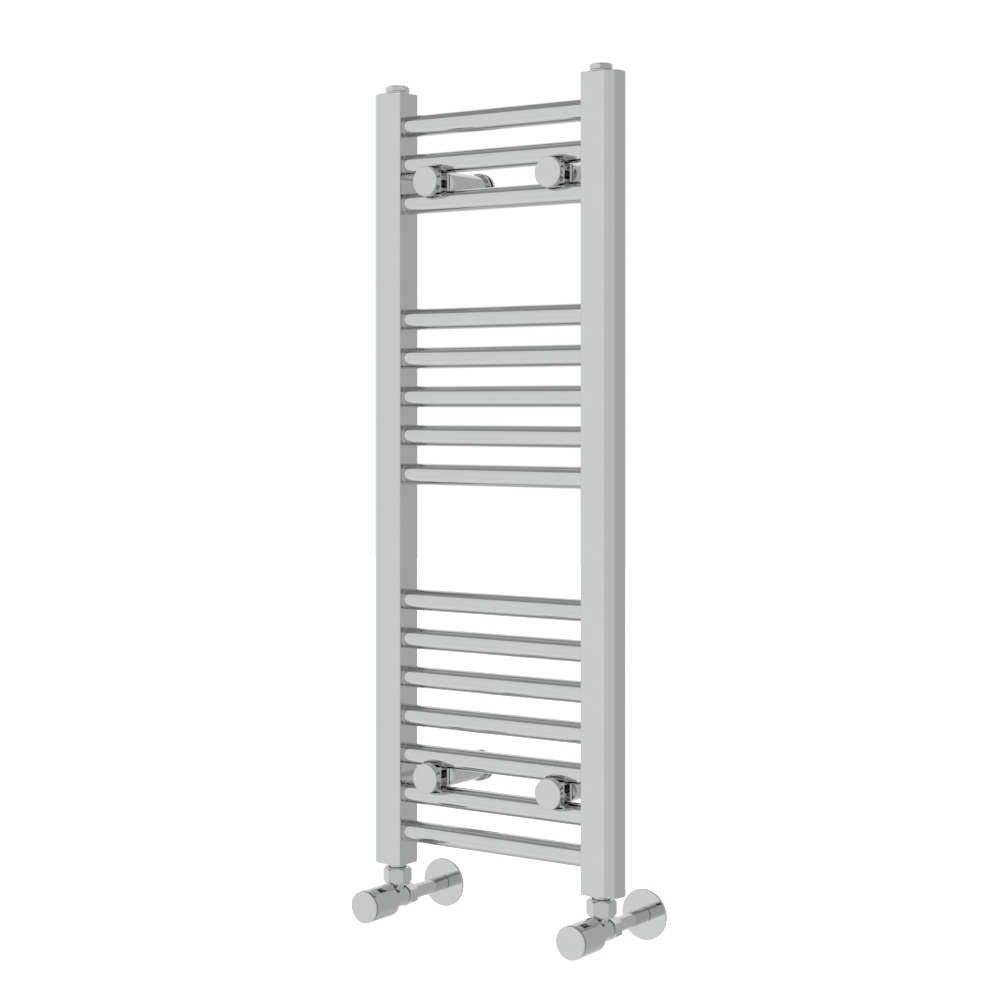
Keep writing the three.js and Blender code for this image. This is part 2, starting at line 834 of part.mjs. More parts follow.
function coverGeometry() {
  const C = COVER;
  const bore = PIPE.diameter + 2 * GAP;
  const front = C.thickness - RAIL.wallToAxis;
  return turned(
    [
      [bore, -RAIL.wallToAxis],
      [C.diameter, -RAIL.wallToAxis],
      [C.diameter, front - C.edge],
      [C.diameter - 2 * C.edge, front],
      [bore, front],
    ],
    FACETS.large,
  );
}

function makeValve(name, x, knobName, knobGeometry) {
  const valve = new THREE.Group();
  valve.position.set(x, -RAIL.wallToAxis, 0);
  const add = (part, geometry, material) =>
    valve.add(piece(name + "_" + part, geometry, material));
  add("body", valveBody(), CHROMED_BRASS());
  add("tail", upZ(tailGeometry()), CHROMED_BRASS());
  add("union_nut", upZ(unionNut()), CHROMED_BRASS());
  add("headwork", toRoom(headworkGeometry()), BRASS());
  add("spindle", toRoom(spindleGeometry()), BRASS());
  add("jumper", toRoom(jumperGeometry()), BRASS());
  add(knobName, toRoom(knobGeometry), PLASTIC_CHROME());
  add("compression_nut", toRoom(compressionNut()), CHROMED_BRASS());
  add("pipe", toRoom(pipeGeometry()), CHROME());
  add("cover_plate", toRoom(coverGeometry()), CHROME());
  return valve;
}

// ---- The whole rail -----------------------------------------------------------------------

const radiator = new THREE.Group();
radiator.add(makeRail(), makePlugs(), makeBrackets());
radiator.add(makeValve("lock_valve", -PIPE_X, "cap", lockCapGeometry()));
radiator.add(makeValve("wheel_valve", PIPE_X, "handwheel", handwheelGeometry()));

export default radiator;
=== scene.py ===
"""Shown model of a chromed ladder towel rail with its wall brackets and angled valves.

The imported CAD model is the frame: every size that the CAD fixes is read from the boxes of its
nodes, and each shown piece stands for one node and rides on that node's body. Shapes are
worked out in millimetres and turned into metres when a mesh is made.
"""
import json
import logging
import math
from collections.abc import Iterable, Sequence
from dataclasses import dataclass, field, replace
from enum import Enum

import bpy
from mathutils import Matrix, Vector


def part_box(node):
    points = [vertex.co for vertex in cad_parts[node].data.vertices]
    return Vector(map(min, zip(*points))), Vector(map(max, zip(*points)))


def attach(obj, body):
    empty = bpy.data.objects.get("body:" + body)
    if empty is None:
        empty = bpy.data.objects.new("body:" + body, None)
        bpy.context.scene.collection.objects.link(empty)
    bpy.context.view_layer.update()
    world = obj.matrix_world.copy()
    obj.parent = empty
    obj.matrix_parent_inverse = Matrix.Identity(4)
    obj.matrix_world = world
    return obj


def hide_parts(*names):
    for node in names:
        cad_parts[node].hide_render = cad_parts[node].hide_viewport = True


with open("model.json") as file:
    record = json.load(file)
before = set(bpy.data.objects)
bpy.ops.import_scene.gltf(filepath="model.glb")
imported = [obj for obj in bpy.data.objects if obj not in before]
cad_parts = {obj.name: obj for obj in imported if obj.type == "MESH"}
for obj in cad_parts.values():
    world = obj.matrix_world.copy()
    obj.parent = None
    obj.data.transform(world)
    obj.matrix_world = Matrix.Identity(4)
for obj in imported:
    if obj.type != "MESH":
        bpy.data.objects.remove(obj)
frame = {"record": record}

LOG = logging.getLogger("towel_rail")
MM = 0.001
SEGMENTS = 96  # round a turned piece; a multiple of 4 and 6, for squares and hexagons
ARC_STEPS = 4  # along the rounding of an edge
CORNER_SPREAD = math.radians(0.5)  # half the width of a hexagon's softened corner
SHARP_ANGLE = math.radians(32)
GAP = 0.3  # clearance between pieces, as in the CAD
Spot = tuple[Vector, float]  # a point and how much it belongs to a worked edge


class Side(Enum):
    """The two ends of the rail, seen from the room."""

    LEFT = -1
    RIGHT = 1

    @property
    def word(self) -> str:
        """The side's name as the nodes spell it."""
        return self.name.lower()


class Way(Enum):
    """Where the heights of a turned shape run once it is in place."""

    UP = "up"
    ROOM = "room"
    ALONG = "along"

    def matrix(self) -> Matrix:
        """Rotation from a shape's own axis, its +Z, to the way it lies in the rail."""
        if self is Way.ROOM:
            return Matrix.Rotation(math.radians(90), 4, "X")
        if self is Way.ALONG:
            return Matrix.Rotation(math.radians(90), 4, "Y")
        return Matrix.Identity(4)


class Cut(Enum):
    """How one solid works on another."""

    AWAY = "DIFFERENCE"
    JOIN = "UNION"
    KEEP = "INTERSECT"


# ---- Reading the frame ------------------------------------------------------------------------


@dataclass(frozen=True)
class Extent:
    """The box of a CAD node, in millimetres."""

    low: Vector
    high: Vector

    @classmethod
    def of(cls, node: str) -> "Extent":
        """Reads a node's box.

        Args:
            node: Name of the CAD node.

        Returns:
            Its extent in millimetres.
        """
        low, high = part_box(node)
        return cls(low / MM, high / MM)

    @property
    def size(self) -> Vector:
        """Width, depth and height."""
        return self.high - self.low

    @property
    def middle(self) -> Vector:
        """Centre of the box."""
        return (self.high + self.low) / 2


def body_of(node: str) -> str:
    """Finds the moving body that a CAD node belongs to.

    Args:
        node: Name of the CAD node.

    Returns:
        Name of the body.
    """
    bodies = frame["record"]["behaviour"]["bodies"]
    return next(body for body, nodes in bodies.items() if node in nodes)


# ---- Shapes -----------------------------------------------------------------------------------


@dataclass(frozen=True)
class Ring:
    """One ring of a turned shape, in millimetres.

    A ring with sides is a polygon, and its radius is half the width across the flats. Its
    height falls by `slope` for each millimetre that it reaches beyond `face`, which is how a
    turned chamfer runs over a nut's corners. A ring with a pitch is part of a screw thread.
    """

    radius: float
    height: float
    sides: int = 0
    slope: float = 0.0
    face: float = 0.0
    pitch: float = 0.0
    depth: float = 0.0
    edge: float = 0.0

    def point(self, angle: float) -> Vector:
        """Places the ring's point at one angle.

        Args:
            angle: Angle round the axis in radians.

        Returns:
            The point in millimetres.
        """
        reach = self.radius
        if self.sides:
            step = math.tau / self.sides
            off = min(abs(angle % step - step / 2), step / 2 - CORNER_SPREAD)
            reach = self.radius / math.cos(off)
        if self.pitch:
            turn = (self.height / self.pitch - angle / math.tau) % 1
            reach -= self.depth * abs(2 * turn - 1)
        height = self.height - self.slope * max(0.0, reach - self.face)
        return Vector((reach * math.cos(angle), reach * math.sin(angle), height))


@dataclass(frozen=True)
class Corner:
    """One corner of a turned outline: its diameter, its height and the radius of its rounding."""

    diameter: float
    height: float
    rounding: float = 0.0


def rounded(corners: Sequence[Corner]) -> list[Ring]:
    """Turns an outline's corners into rings, with an arc in place of each rounded corner.

    Args:
        corners: The outline, up the outside and down the inside or back along the axis.

    Returns:
        The rings, with a plain ring beside each arc so that the edge's finish ends there.
    """
    spots = [Vector((c.diameter / 2, c.height)) for c in corners]
    rings: list[Ring] = []
    for i, corner in enumerate(corners):
        here = spots[i]
        if not corner.rounding:
            rings.append(Ring(here.x, here.y))
            continue
        before = (spots[i - 1] - here).normalized()
        after = (spots[(i + 1) % len(spots)] - here).normalized()
        half = before.angle(after) / 2
        setback = corner.rounding / math.tan(half)
        centre = here + (before + after).normalized() * corner.rounding / math.sin(half)
        start, end = here + before * setback, here + after * setback
        rings.append(Ring(*(start + before * corner.rounding)))
        sweep = math.pi - 2 * half
        first = start - centre
        sign = 1.0 if first.cross(end - centre) > 0 else -1.0
        for step in range(ARC_STEPS + 1):
            turn = Matrix.Rotation(sign * sweep * step / ARC_STEPS, 2)
            spot = centre + turn @ first
            rings.append(Ring(spot.x, spot.y, edge=1.0))
        rings.append(Ring(*(end + after * corner.rounding)))
    return rings


def thread(diameter: float, start: float, end: float, pitch: float) -> list[Ring]:
    """Makes the rings of a screw thread that runs out at both ends.

    Args:
        diameter: Over the crests.
        start: Height of its first ring.
        end: Height of its last ring.
        pitch: Distance between two crests.

    Returns:
        The rings from start to end, whichever is higher.
    """
    per_turn = 6
    count = max(2, round(abs(end - start) / pitch * per_turn))
    full = 0.54 * pitch
    rings = []
    for i in range(count + 1):
        share = i / count
        fade = min(1.0, min(i, count - i) / per_turn)
        height = start + (end - start) * share
        rings.append(Ring(diameter / 2, height, pitch=pitch, depth=full * fade))
    return rings


def nut_end(flats: float, face: float, height: float, fall: float) -> list[Ring]:
    """Makes the chamfered end of a hexagon: its round face, and the edge that the chamfer leaves.

    Args:
        flats: Width across the flats.
        face: Diameter of the flat round end.
        height: Height of that end.
        fall: How far the chamfer falls to the corners, negative at a lower end.

    Returns:
        Three rings from the face outwards.
    """
    edge = 0.15
    corner_reach = flats / 2 / math.cos(math.pi / 6)
    slope = fall / (corner_reach - face / 2)
    drop = math.copysign(edge, slope)
    corner = Ring(flats / 2, height - drop, 6, slope, face / 2, edge=1.0)
    return [
        Ring(face / 2, height, edge=1.0),
        replace(corner, radius=flats / 2 - edge, height=height),
        corner,
    ]


def lofted(name: str, loops: Sequence[Sequence[Spot]], closed: bool = False) -> bpy.types.Mesh:
    """Skins a row of loops that all have the same number of points.

    Args:
        name: Name of the mesh.
        loops: The loops in order, counter-clockwise seen against their direction of travel. A
            loop of one point is a tip.
        closed: Whether the last loop joins the first, as in a ring-shaped section.

    Returns:
        A closed mesh in millimetres.
    """
    points: list[Vector] = []
    edges: list[float] = []
    spans: list[range] = []
    for loop in loops:
        spans.append(range(len(points), len(points) + len(loop)))
        points += [spot for spot, _ in loop]
        edges += [edge for _, edge in loop]
    faces: list[tuple[int, ...]] = []
    pairs = list(zip(spans, spans[1:]))
    if closed:
        pairs.append((spans[-1], spans[0]))
    for low, high in pairs:
        count = max(len(low), len(high))
        for k in range(count):
            after = (k + 1) % count
            if len(low) == 1:
                faces.append((low[0], high[after], high[k]))
            elif len(high) == 1:
                faces.append((low[k], low[after], high[0]))
            else:
                faces.append((low[k], low[after], high[after], high[k]))
    if not closed:
        if len(spans[0]) > 1:
            faces.append(tuple(reversed(spans[0])))
        if len(spans[-1]) > 1:
            faces.append(tuple(spans[-1]))
    mesh = bpy.data.meshes.new(name)
    mesh.from_pydata(points, [], faces)
    mesh.attributes.new("edge", "FLOAT", "POINT").data.foreach_set("value", edges)
    mesh.validate()
    return mesh


def turned(name: str, rings: Sequence[Ring], turn: float = 0.0) -> bpy.types.Mesh:
    """Turns rings about the Z axis.

    Args:
        name: Name of the mesh.
        rings: Rings up the outside, ending on the axis or closing on themselves.
        turn: Degrees to turn polygons from having a corner on +X.

    Returns:
        A closed mesh in millimetres.
    """
    angles = {step * math.tau / SEGMENTS for step in range(SEGMENTS)}
    for sides in {ring.sides for ring in rings if ring.sides}:
        for k in range(sides):
            corner = k * math.tau / sides
            angles |= {(corner + CORNER_SPREAD) % math.tau, (corner - CORNER_SPREAD) % math.tau}
    loops = [
        [(ring.point(angle), ring.edge) for angle in sorted(angles)]
        if ring.radius > 0
        else [(Vector((0, 0, ring.height)), 0.0)]
        for ring in rings
    ]
    mesh = lofted(name, loops, closed=rings[0].radius > 0)
    mesh.transform(Matrix.Rotation(math.radians(turn), 4, "Z"))
    return mesh


def rod(name: str, diameter: float, start: float, end: float, sides: int = 0) -> bpy.types.Mesh:
    """Makes a plain rod about the Z axis, for cutting or joining.

    Args:
        name: Name of the mesh.
        diameter: Its diameter, or its width across the flats.
        start: Lower end.
        end: Upper end.
        sides: Number of sides, or none for a round rod.

    Returns:
        A closed mesh in millimetres.
    """
    low, high = (Ring(diameter / 2, height, sides) for height in (start, end))
    return turned(name, [Ring(0, start), low, high, Ring(0, end)])


def placed(mesh: bpy.types.Mesh, matrix: Matrix) -> bpy.types.Mesh:
    """Moves a mesh's own points, and returns it."""
    mesh.transform(matrix)
    return mesh


def block(width: float, start: float, end: float) -> bpy.types.Mesh:
    """Makes a square block about the Z axis, with its sides along X and Y."""
    return placed(rod("block", width, start, end, 4), Matrix.Rotation(math.pi / 4, 4, "Z"))


def worked(
    mesh: bpy.types.Mesh, tools: Iterable[tuple[Cut, bpy.types.Mesh]]
) -> bpy.types.Mesh:
    """Cuts, joins and trims solids, one after another.

    Args:
        mesh: The solid to work on.
        tools: What to do, and the solid to do it with. The tools are used up.

    Returns:
        The finished mesh.
    """
    collection = bpy.context.scene.collection
    blank = bpy.data.objects.new("blank", mesh)
    collection.objects.link(blank)
    helpers = [blank]
    for how, tool in tools:
        helper = bpy.data.objects.new("tool", tool)
        collection.objects.link(helper)
        helpers.append(helper)
        modifier = blank.modifiers.new(how.value, "BOOLEAN")
        modifier.operation = how.value
        modifier.solver = "EXACT"
        modifier.object = helper
    graph = bpy.context.evaluated_depsgraph_get()
    made = bpy.data.meshes.new_from_object(blank.evaluated_get(graph), depsgraph=graph)
    made.name = mesh.name
    for helper in helpers:
        data = helper.data
        bpy.data.objects.remove(helper)
        bpy.data.meshes.remove(data)
    return made


# ---- Node groups ------------------------------------------------------------------------------

Socket = bpy.types.NodeSocket


class Tree:
    """A node tree that is being wired, with short ways to add and join its nodes."""

    def __init__(self, tree: bpy.types.NodeTree) -> None:
        """Takes over an empty or cleared node tree."""
        self.tree = tree

    def node(self, kind: str, **settings: object) -> bpy.types.Node:
        """Adds a node.

        Args:
            kind: Its type name.
            settings: Properties to set on it.

        Returns:
            The node.
        """
        made = self.tree.nodes.new(kind)
        for name, value in settings.items():
            setattr(made, name, value)
        return made

    def feed(self, node: bpy.types.Node, **inputs: object) -> bpy.types.Node:
        """Sets or links a node's inputs.

        Args:
            node: The node to feed.
            inputs: Input names with `_` for a space, each with a value or a socket. `in_0` is
                the first input.

        Returns:
            The node.
        """
        for name, value in inputs.items():
            key = int(name[3:]) if name.startswith("in_") else name.replace("_", " ")
            if isinstance(value, Socket):
                self.tree.links.new(value, node.inputs[key])
            else:
                node.inputs[key].default_value = value
        return node

    def math(self, operation: str, first: object, second: object = 0.0) -> Socket:
        """Adds a Math node and returns its result."""
        node = self.node("ShaderNodeMath", operation=operation)
        return self.feed(node, in_0=first, in_1=second).outputs[0]

    def spread(self, value: object, low: object, high: object, *, start: float = 0.0,
               end: float = 1.0, smooth: bool = False) -> Socket:
        """Maps a value that runs from start to end onto low to high.

        Args:
            value: The value or socket to map.
            low: Result at start.
            high: Result at end.
            start: Where the range starts.
            end: Where the range ends.
            smooth: Whether to ease in and out.

        Returns:
            The mapped value.
        """
        node = self.node("ShaderNodeMapRange")
        node.interpolation_type = "SMOOTHSTEP" if smooth else "LINEAR"
        self.feed(node, in_0=value, in_1=start, in_2=end, in_3=low, in_4=high)
        return node.outputs[0]

    def mix(self, share: object, first: object, second: object) -> Socket:
        """Mixes two colours by a share and returns the colour."""
        node = self.node("ShaderNodeMix", data_type="RGBA")
        return self.feed(node, in_0=share, in_6=first, in_7=second).outputs[2]

    def noise(self, vector: Socket, scale: object, detail: float) -> Socket:
        """Adds a noise texture and returns its value."""
        node = self.node("ShaderNodeTexNoise")
        return self.feed(node, Vector=vector, Scale=scale, Detail=detail).outputs[0]


def new_group(name: str, inputs: dict[str, str], outputs: dict[str, str]) -> tuple[
    bpy.types.NodeTree, Tree, bpy.types.Node, bpy.types.Node
]:
    """Makes an empty shader node group.

    Args:
        name: Name of the group.
        inputs: Names of its inputs, each with a kind such as Float, Vector or Color.
        outputs: Names of its outputs, likewise.

    Returns:
        The group, its tree, and its input and output nodes.
    """
    group = bpy.data.node_groups.new(name, "ShaderNodeTree")
    for way, sockets in (("INPUT", inputs), ("OUTPUT", outputs)):
        for socket, kind in sockets.items():
            group.interface.new_socket(socket, in_out=way, socket_type="NodeSocket" + kind)
    tree = Tree(group)
    return group, tree, tree.node("NodeGroupInput"), tree.node("NodeGroupOutput")


def polish_group() -> bpy.types.NodeTree:
    """Makes the group for plated and polished metal: cloudy haze and a faint unevenness.

    Returns:
        A group that turns a place on the surface into a haze mask, from 0 to 1, and a height.
    """
    group, tree, given, result = new_group(
        "Polish haze",
        {"Vector": "Vector", "Cloud Scale": "Float", "Grain Scale": "Float"},
        {"Haze": "Float", "Height": "Float"},
    )
    vector = given.outputs["Vector"]
    clouds = tree.noise(vector, given.outputs["Cloud Scale"], 3.0)
    grain = tree.noise(vector, given.outputs["Grain Scale"], 2.0)
    soft = tree.spread(clouds, 0.0, 1.0, start=0.35, end=0.7, smooth=True)
    haze = tree.math("MULTIPLY", soft, tree.spread(grain, 0.6, 1.0, start=0.3, end=0.7))
    height = tree.math("ADD", clouds, tree.math("MULTIPLY", grain, 0.06))
    tree.feed(result, Haze=haze, Height=height)
    return group


def scratch_group() -> bpy.types.NodeTree:
    """Makes the group for hair-fine scratches that wiping leaves.

    Returns:
        A group that turns a place on the surface into a scratch mask.
    """
    group, tree, given, result = new_group(
        "Wipe scratches",
        {"Vector": "Vector", "Scale": "Float", "Share": "Float"},
        {"Scratches": "Float"},
    )
    masks = []
    for slant in (0.35, -0.9):
        turn = tree.node("ShaderNodeMapping")
        tree.feed(turn, Vector=given.outputs["Vector"])
        turn.inputs["Rotation"].default_value = (slant, 0.4 * slant, slant)
        turn.inputs["Scale"].default_value = (1.0, 1.0, 0.025)
        lines = tree.noise(turn.outputs[0], given.outputs["Scale"], 1.0)
        masks.append(tree.spread(lines, 0.0, 1.0, start=0.68, end=0.74))
    patches = tree.noise(given.outputs["Vector"], 45.0, 1.0)
    where = tree.spread(patches, 0.0, given.outputs["Share"], start=0.45, end=0.65)
    both = tree.math("MAXIMUM", *masks)
    tree.feed(result, Scratches=tree.math("MULTIPLY", both, where))
    return group


def lathe_group() -> bpy.types.NodeTree:
    """Makes the group for the fine rings that a lathe leaves round a piece's own axis.

    Returns:
        A group that turns a place on the surface into a height.
    """
    group, tree, given, result = new_group(
        "Lathe rings", {"Vector": "Vector", "Scale": "Float"}, {"Height": "Float"}
    )
    parts = tree.feed(tree.node("ShaderNodeSeparateXYZ"), Vector=given.outputs["Vector"])
    across = tree.math(
        "SQRT",
        tree.math(
            "ADD",
            tree.math("POWER", tree.math("ABSOLUTE", parts.outputs[0]), 2.0),
            tree.math("POWER", tree.math("ABSOLUTE", parts.outputs[1]), 2.0),
        ),
    )
    line = tree.node("ShaderNodeCombineXYZ")
    tree.feed(line, X=across, Y=parts.outputs[2])
    tree.feed(result, Height=tree.noise(line.outputs[0], given.outputs["Scale"], 2.0))
    return group


class Effect(Enum):
    """The surface effects that several finishes share."""

    POLISH = "Polish haze"
    SCRATCHES = "Wipe scratches"
    LATHE = "Lathe rings"


EFFECTS = {
    Effect.POLISH: polish_group(),
    Effect.SCRATCHES: scratch_group(),
    Effect.LATHE: lathe_group(),
}


# ---- Finishes ---------------------------------------------------------------------------------

Colour = tuple[float, float, float, float]


def grey(shade: float, warmth: float = 0.0) -> Colour:
    """Makes a near-neutral colour from a shade and a slight warmth."""
    return (shade * (1 + warmth), shade, shade * (1 - warmth), 1.0)


def new_material(name: str) -> tuple[bpy.types.Material, Tree, bpy.types.Node]:
    """Makes a material that holds only a Principled shader.

    Args:
        name: Name of the material.

    Returns:
        The material, its tree and the shader.
    """
    material = bpy.data.materials.new(name)
    material.use_nodes = True
    material.node_tree.nodes.clear()
    tree = Tree(material.node_tree)
    shader = tree.node("ShaderNodeBsdfPrincipled")
    tree.feed(tree.node("ShaderNodeOutputMaterial"), Surface=shader.outputs[0])
    return material, tree, shader


@dataclass(frozen=True)
class Metal:
    """A bare or plated metal.

    Lengths are in millimetres. `uneven` is the height of its slow waves and `rings` that of its
    lathe marks.
    """

    name: str
    slot: str
    clean: Colour
    hazed: Colour
    smooth: float
    rough: float
    clouds: float = 12.0
    grain: float = 1.2
    uneven: float = 0.002
    rings: float = 0.0
    ring_width: float = 0.25
    scratches: float = 0.5
    scratch_width: float = 0.35
    scratch_roughness: float = 0.09
    edge_polish: float = -0.02
    smoothest: float = 0.012

    def material(self) -> bpy.types.Material:
        """Builds the material once, and finds it again after that.

        Returns:
            The material.
        """
        known = bpy.data.materials.get(self.name)
        if known:
            return known
        material, tree, shader = new_material(self.name)
        place = tree.node("ShaderNodeTexCoord").outputs["Object"]
        edge = tree.node("ShaderNodeAttribute", attribute_name="edge").outputs["Fac"]

        polish = tree.node("ShaderNodeGroup", node_tree=EFFECTS[Effect.POLISH])
        tree.feed(
            polish,
            Vector=place,
            Cloud_Scale=1 / (self.clouds * MM),
            Grain_Scale=1 / (self.grain * MM),
        )
        scratch = tree.node("ShaderNodeGroup", node_tree=EFFECTS[Effect.SCRATCHES])
        width = self.scratch_width * MM
        tree.feed(scratch, Vector=place, Scale=1 / width, Share=self.scratches)
        haze, marks = polish.outputs["Haze"], scratch.outputs["Scratches"]

        roughness = tree.spread(haze, self.smooth, self.rough)
        for mask, change in ((marks, self.scratch_roughness), (edge, self.edge_polish)):
            roughness = tree.math("ADD", roughness, tree.math("MULTIPLY", mask, change))
        tree.feed(
            shader,
            Base_Color=tree.mix(haze, self.clean, self.hazed),
            Metallic=1.0,
            Roughness=tree.math("MAXIMUM", roughness, self.smoothest),
        )
        bump = tree.node("ShaderNodeBump")
        tree.feed(bump, Height=polish.outputs["Height"], Distance=self.uneven * MM, Strength=1.0)
        if self.rings:
            lathe = tree.node("ShaderNodeGroup", node_tree=EFFECTS[Effect.LATHE])
            tree.feed(lathe, Vector=place, Scale=1 / (self.ring_width * MM))
            over = tree.node("ShaderNodeBump")
            tree.feed(
                over,
                Height=lathe.outputs["Height"],
                Distance=self.rings * MM,
                Strength=1.0,
                Normal=bump.outputs[0],
            )
            bump = over
        tree.feed(shader, Normal=bump.outputs[0])
        return material


@dataclass(frozen=True)
class Rubber:
    """The black rubber of a seal."""

    name: str = "Seal rubber"
    slot: str = "steel"
    shade: float = 0.018

    def material(self) -> bpy.types.Material:
        """Builds the material once, and finds it again after that.

        Returns:
            The material.
        """
        known = bpy.data.materials.get(self.name)
        if known:
            return known
        material, tree, shader = new_material(self.name)
        place = tree.node("ShaderNodeTexCoord").outputs["Object"]
        polish = tree.node("ShaderNodeGroup", node_tree=EFFECTS[Effect.POLISH])
        tree.feed(polish, Vector=place, Cloud_Scale=400.0, Grain_Scale=3000.0)
        haze = polish.outputs["Haze"]
        tree.feed(
            shader,
            Base_Color=tree.mix(haze, grey(self.shade), grey(2 * self.shade)),
            Roughness=tree.spread(haze, 0.45, 0.7),
        )
        bump = tree.node("ShaderNodeBump")
        tree.feed(bump, Height=polish.outputs["Height"], Distance=0.02 * MM, Strength=1.0)
        tree.feed(shader, Normal=bump.outputs[0])
        return material


TUBE_CHROME = Metal(
    "Chromed tube", "chrome_tube", grey(0.602, -0.002), grey(0.594, -0.004), 0.02, 0.04,
    clouds=25.0, uneven=0.0006, scratches=0.2,
)
FITTING_CHROME = Metal(
    "Chromed brass fitting", "chrome_fitting", grey(0.604, -0.001), grey(0.592, -0.003),
    0.02, 0.045, clouds=7.0, uneven=0.0006, rings=0.00004, scratches=0.3,
)
KNOB_CHROME = Metal(
    "Chromed knob", "chrome_knob", grey(0.604, -0.002), grey(0.594, -0.004), 0.025, 0.05,
    clouds=9.0, uneven=0.0006, rings=0.00003, scratches=0.35,
)
BRASS = Metal(
    "Bare turned brass", "brass", (0.72, 0.50, 0.22, 1.0), (0.55, 0.37, 0.17, 1.0), 0.2, 0.42,
    clouds=3.0, uneven=0.002, rings=0.0012, edge_polish=-0.08,
)
STEEL = Metal(
    "Blackened steel", "steel", grey(0.10, -0.02), grey(0.055, -0.01), 0.22, 0.42,
    clouds=2.0, uneven=0.002, rings=0.0006, edge_polish=-0.1,
)
RUBBER = Rubber()


# ---- Pieces -----------------------------------------------------------------------------------


def show(
    node: str,
    mesh: bpy.types.Mesh,
    finish: Metal | Rubber,
    origin: Vector,
    way: Way = Way.UP,
    *,
    extra: str = "",
) -> bpy.types.Object:
    """Puts a finished piece in its place, in its material and on its body.

    Args:
        node: CAD node that the piece stands for, or goes with.
        mesh: The piece in millimetres, about its own axis. Pieces may share one.
        finish: Its finish.
        origin: Where the mesh's origin goes, in millimetres.
        way: Where the mesh's axis points.
        extra: Suffix for a piece that the CAD doesn't have, which replaces no node.

    Returns:
        The object.
    """
    if "finished" not in mesh:
        mesh.transform(Matrix.Scale(MM, 4))
        mesh.materials.clear()
        mesh.materials.append(finish.material())
        mesh.shade_smooth()
        mesh.set_sharp_from_angle(angle=SHARP_ANGLE)
        mesh["finished"] = True
    piece = bpy.data.objects.new(node + "_" + (extra or "shown"), mesh)
    bpy.context.scene.collection.objects.link(piece)
    piece.matrix_world = Matrix.Translation(origin * MM) @ way.matrix()
    normals = piece.modifiers.new("Even normals", "WEIGHTED_NORMAL")
    normals.keep_sharp = True
    normals.weight = 100
    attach(piece, body_of(node))
    if not extra:
        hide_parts(node)
    LOG.info("%s rides on %s", piece.name, body_of(node))
    return piece


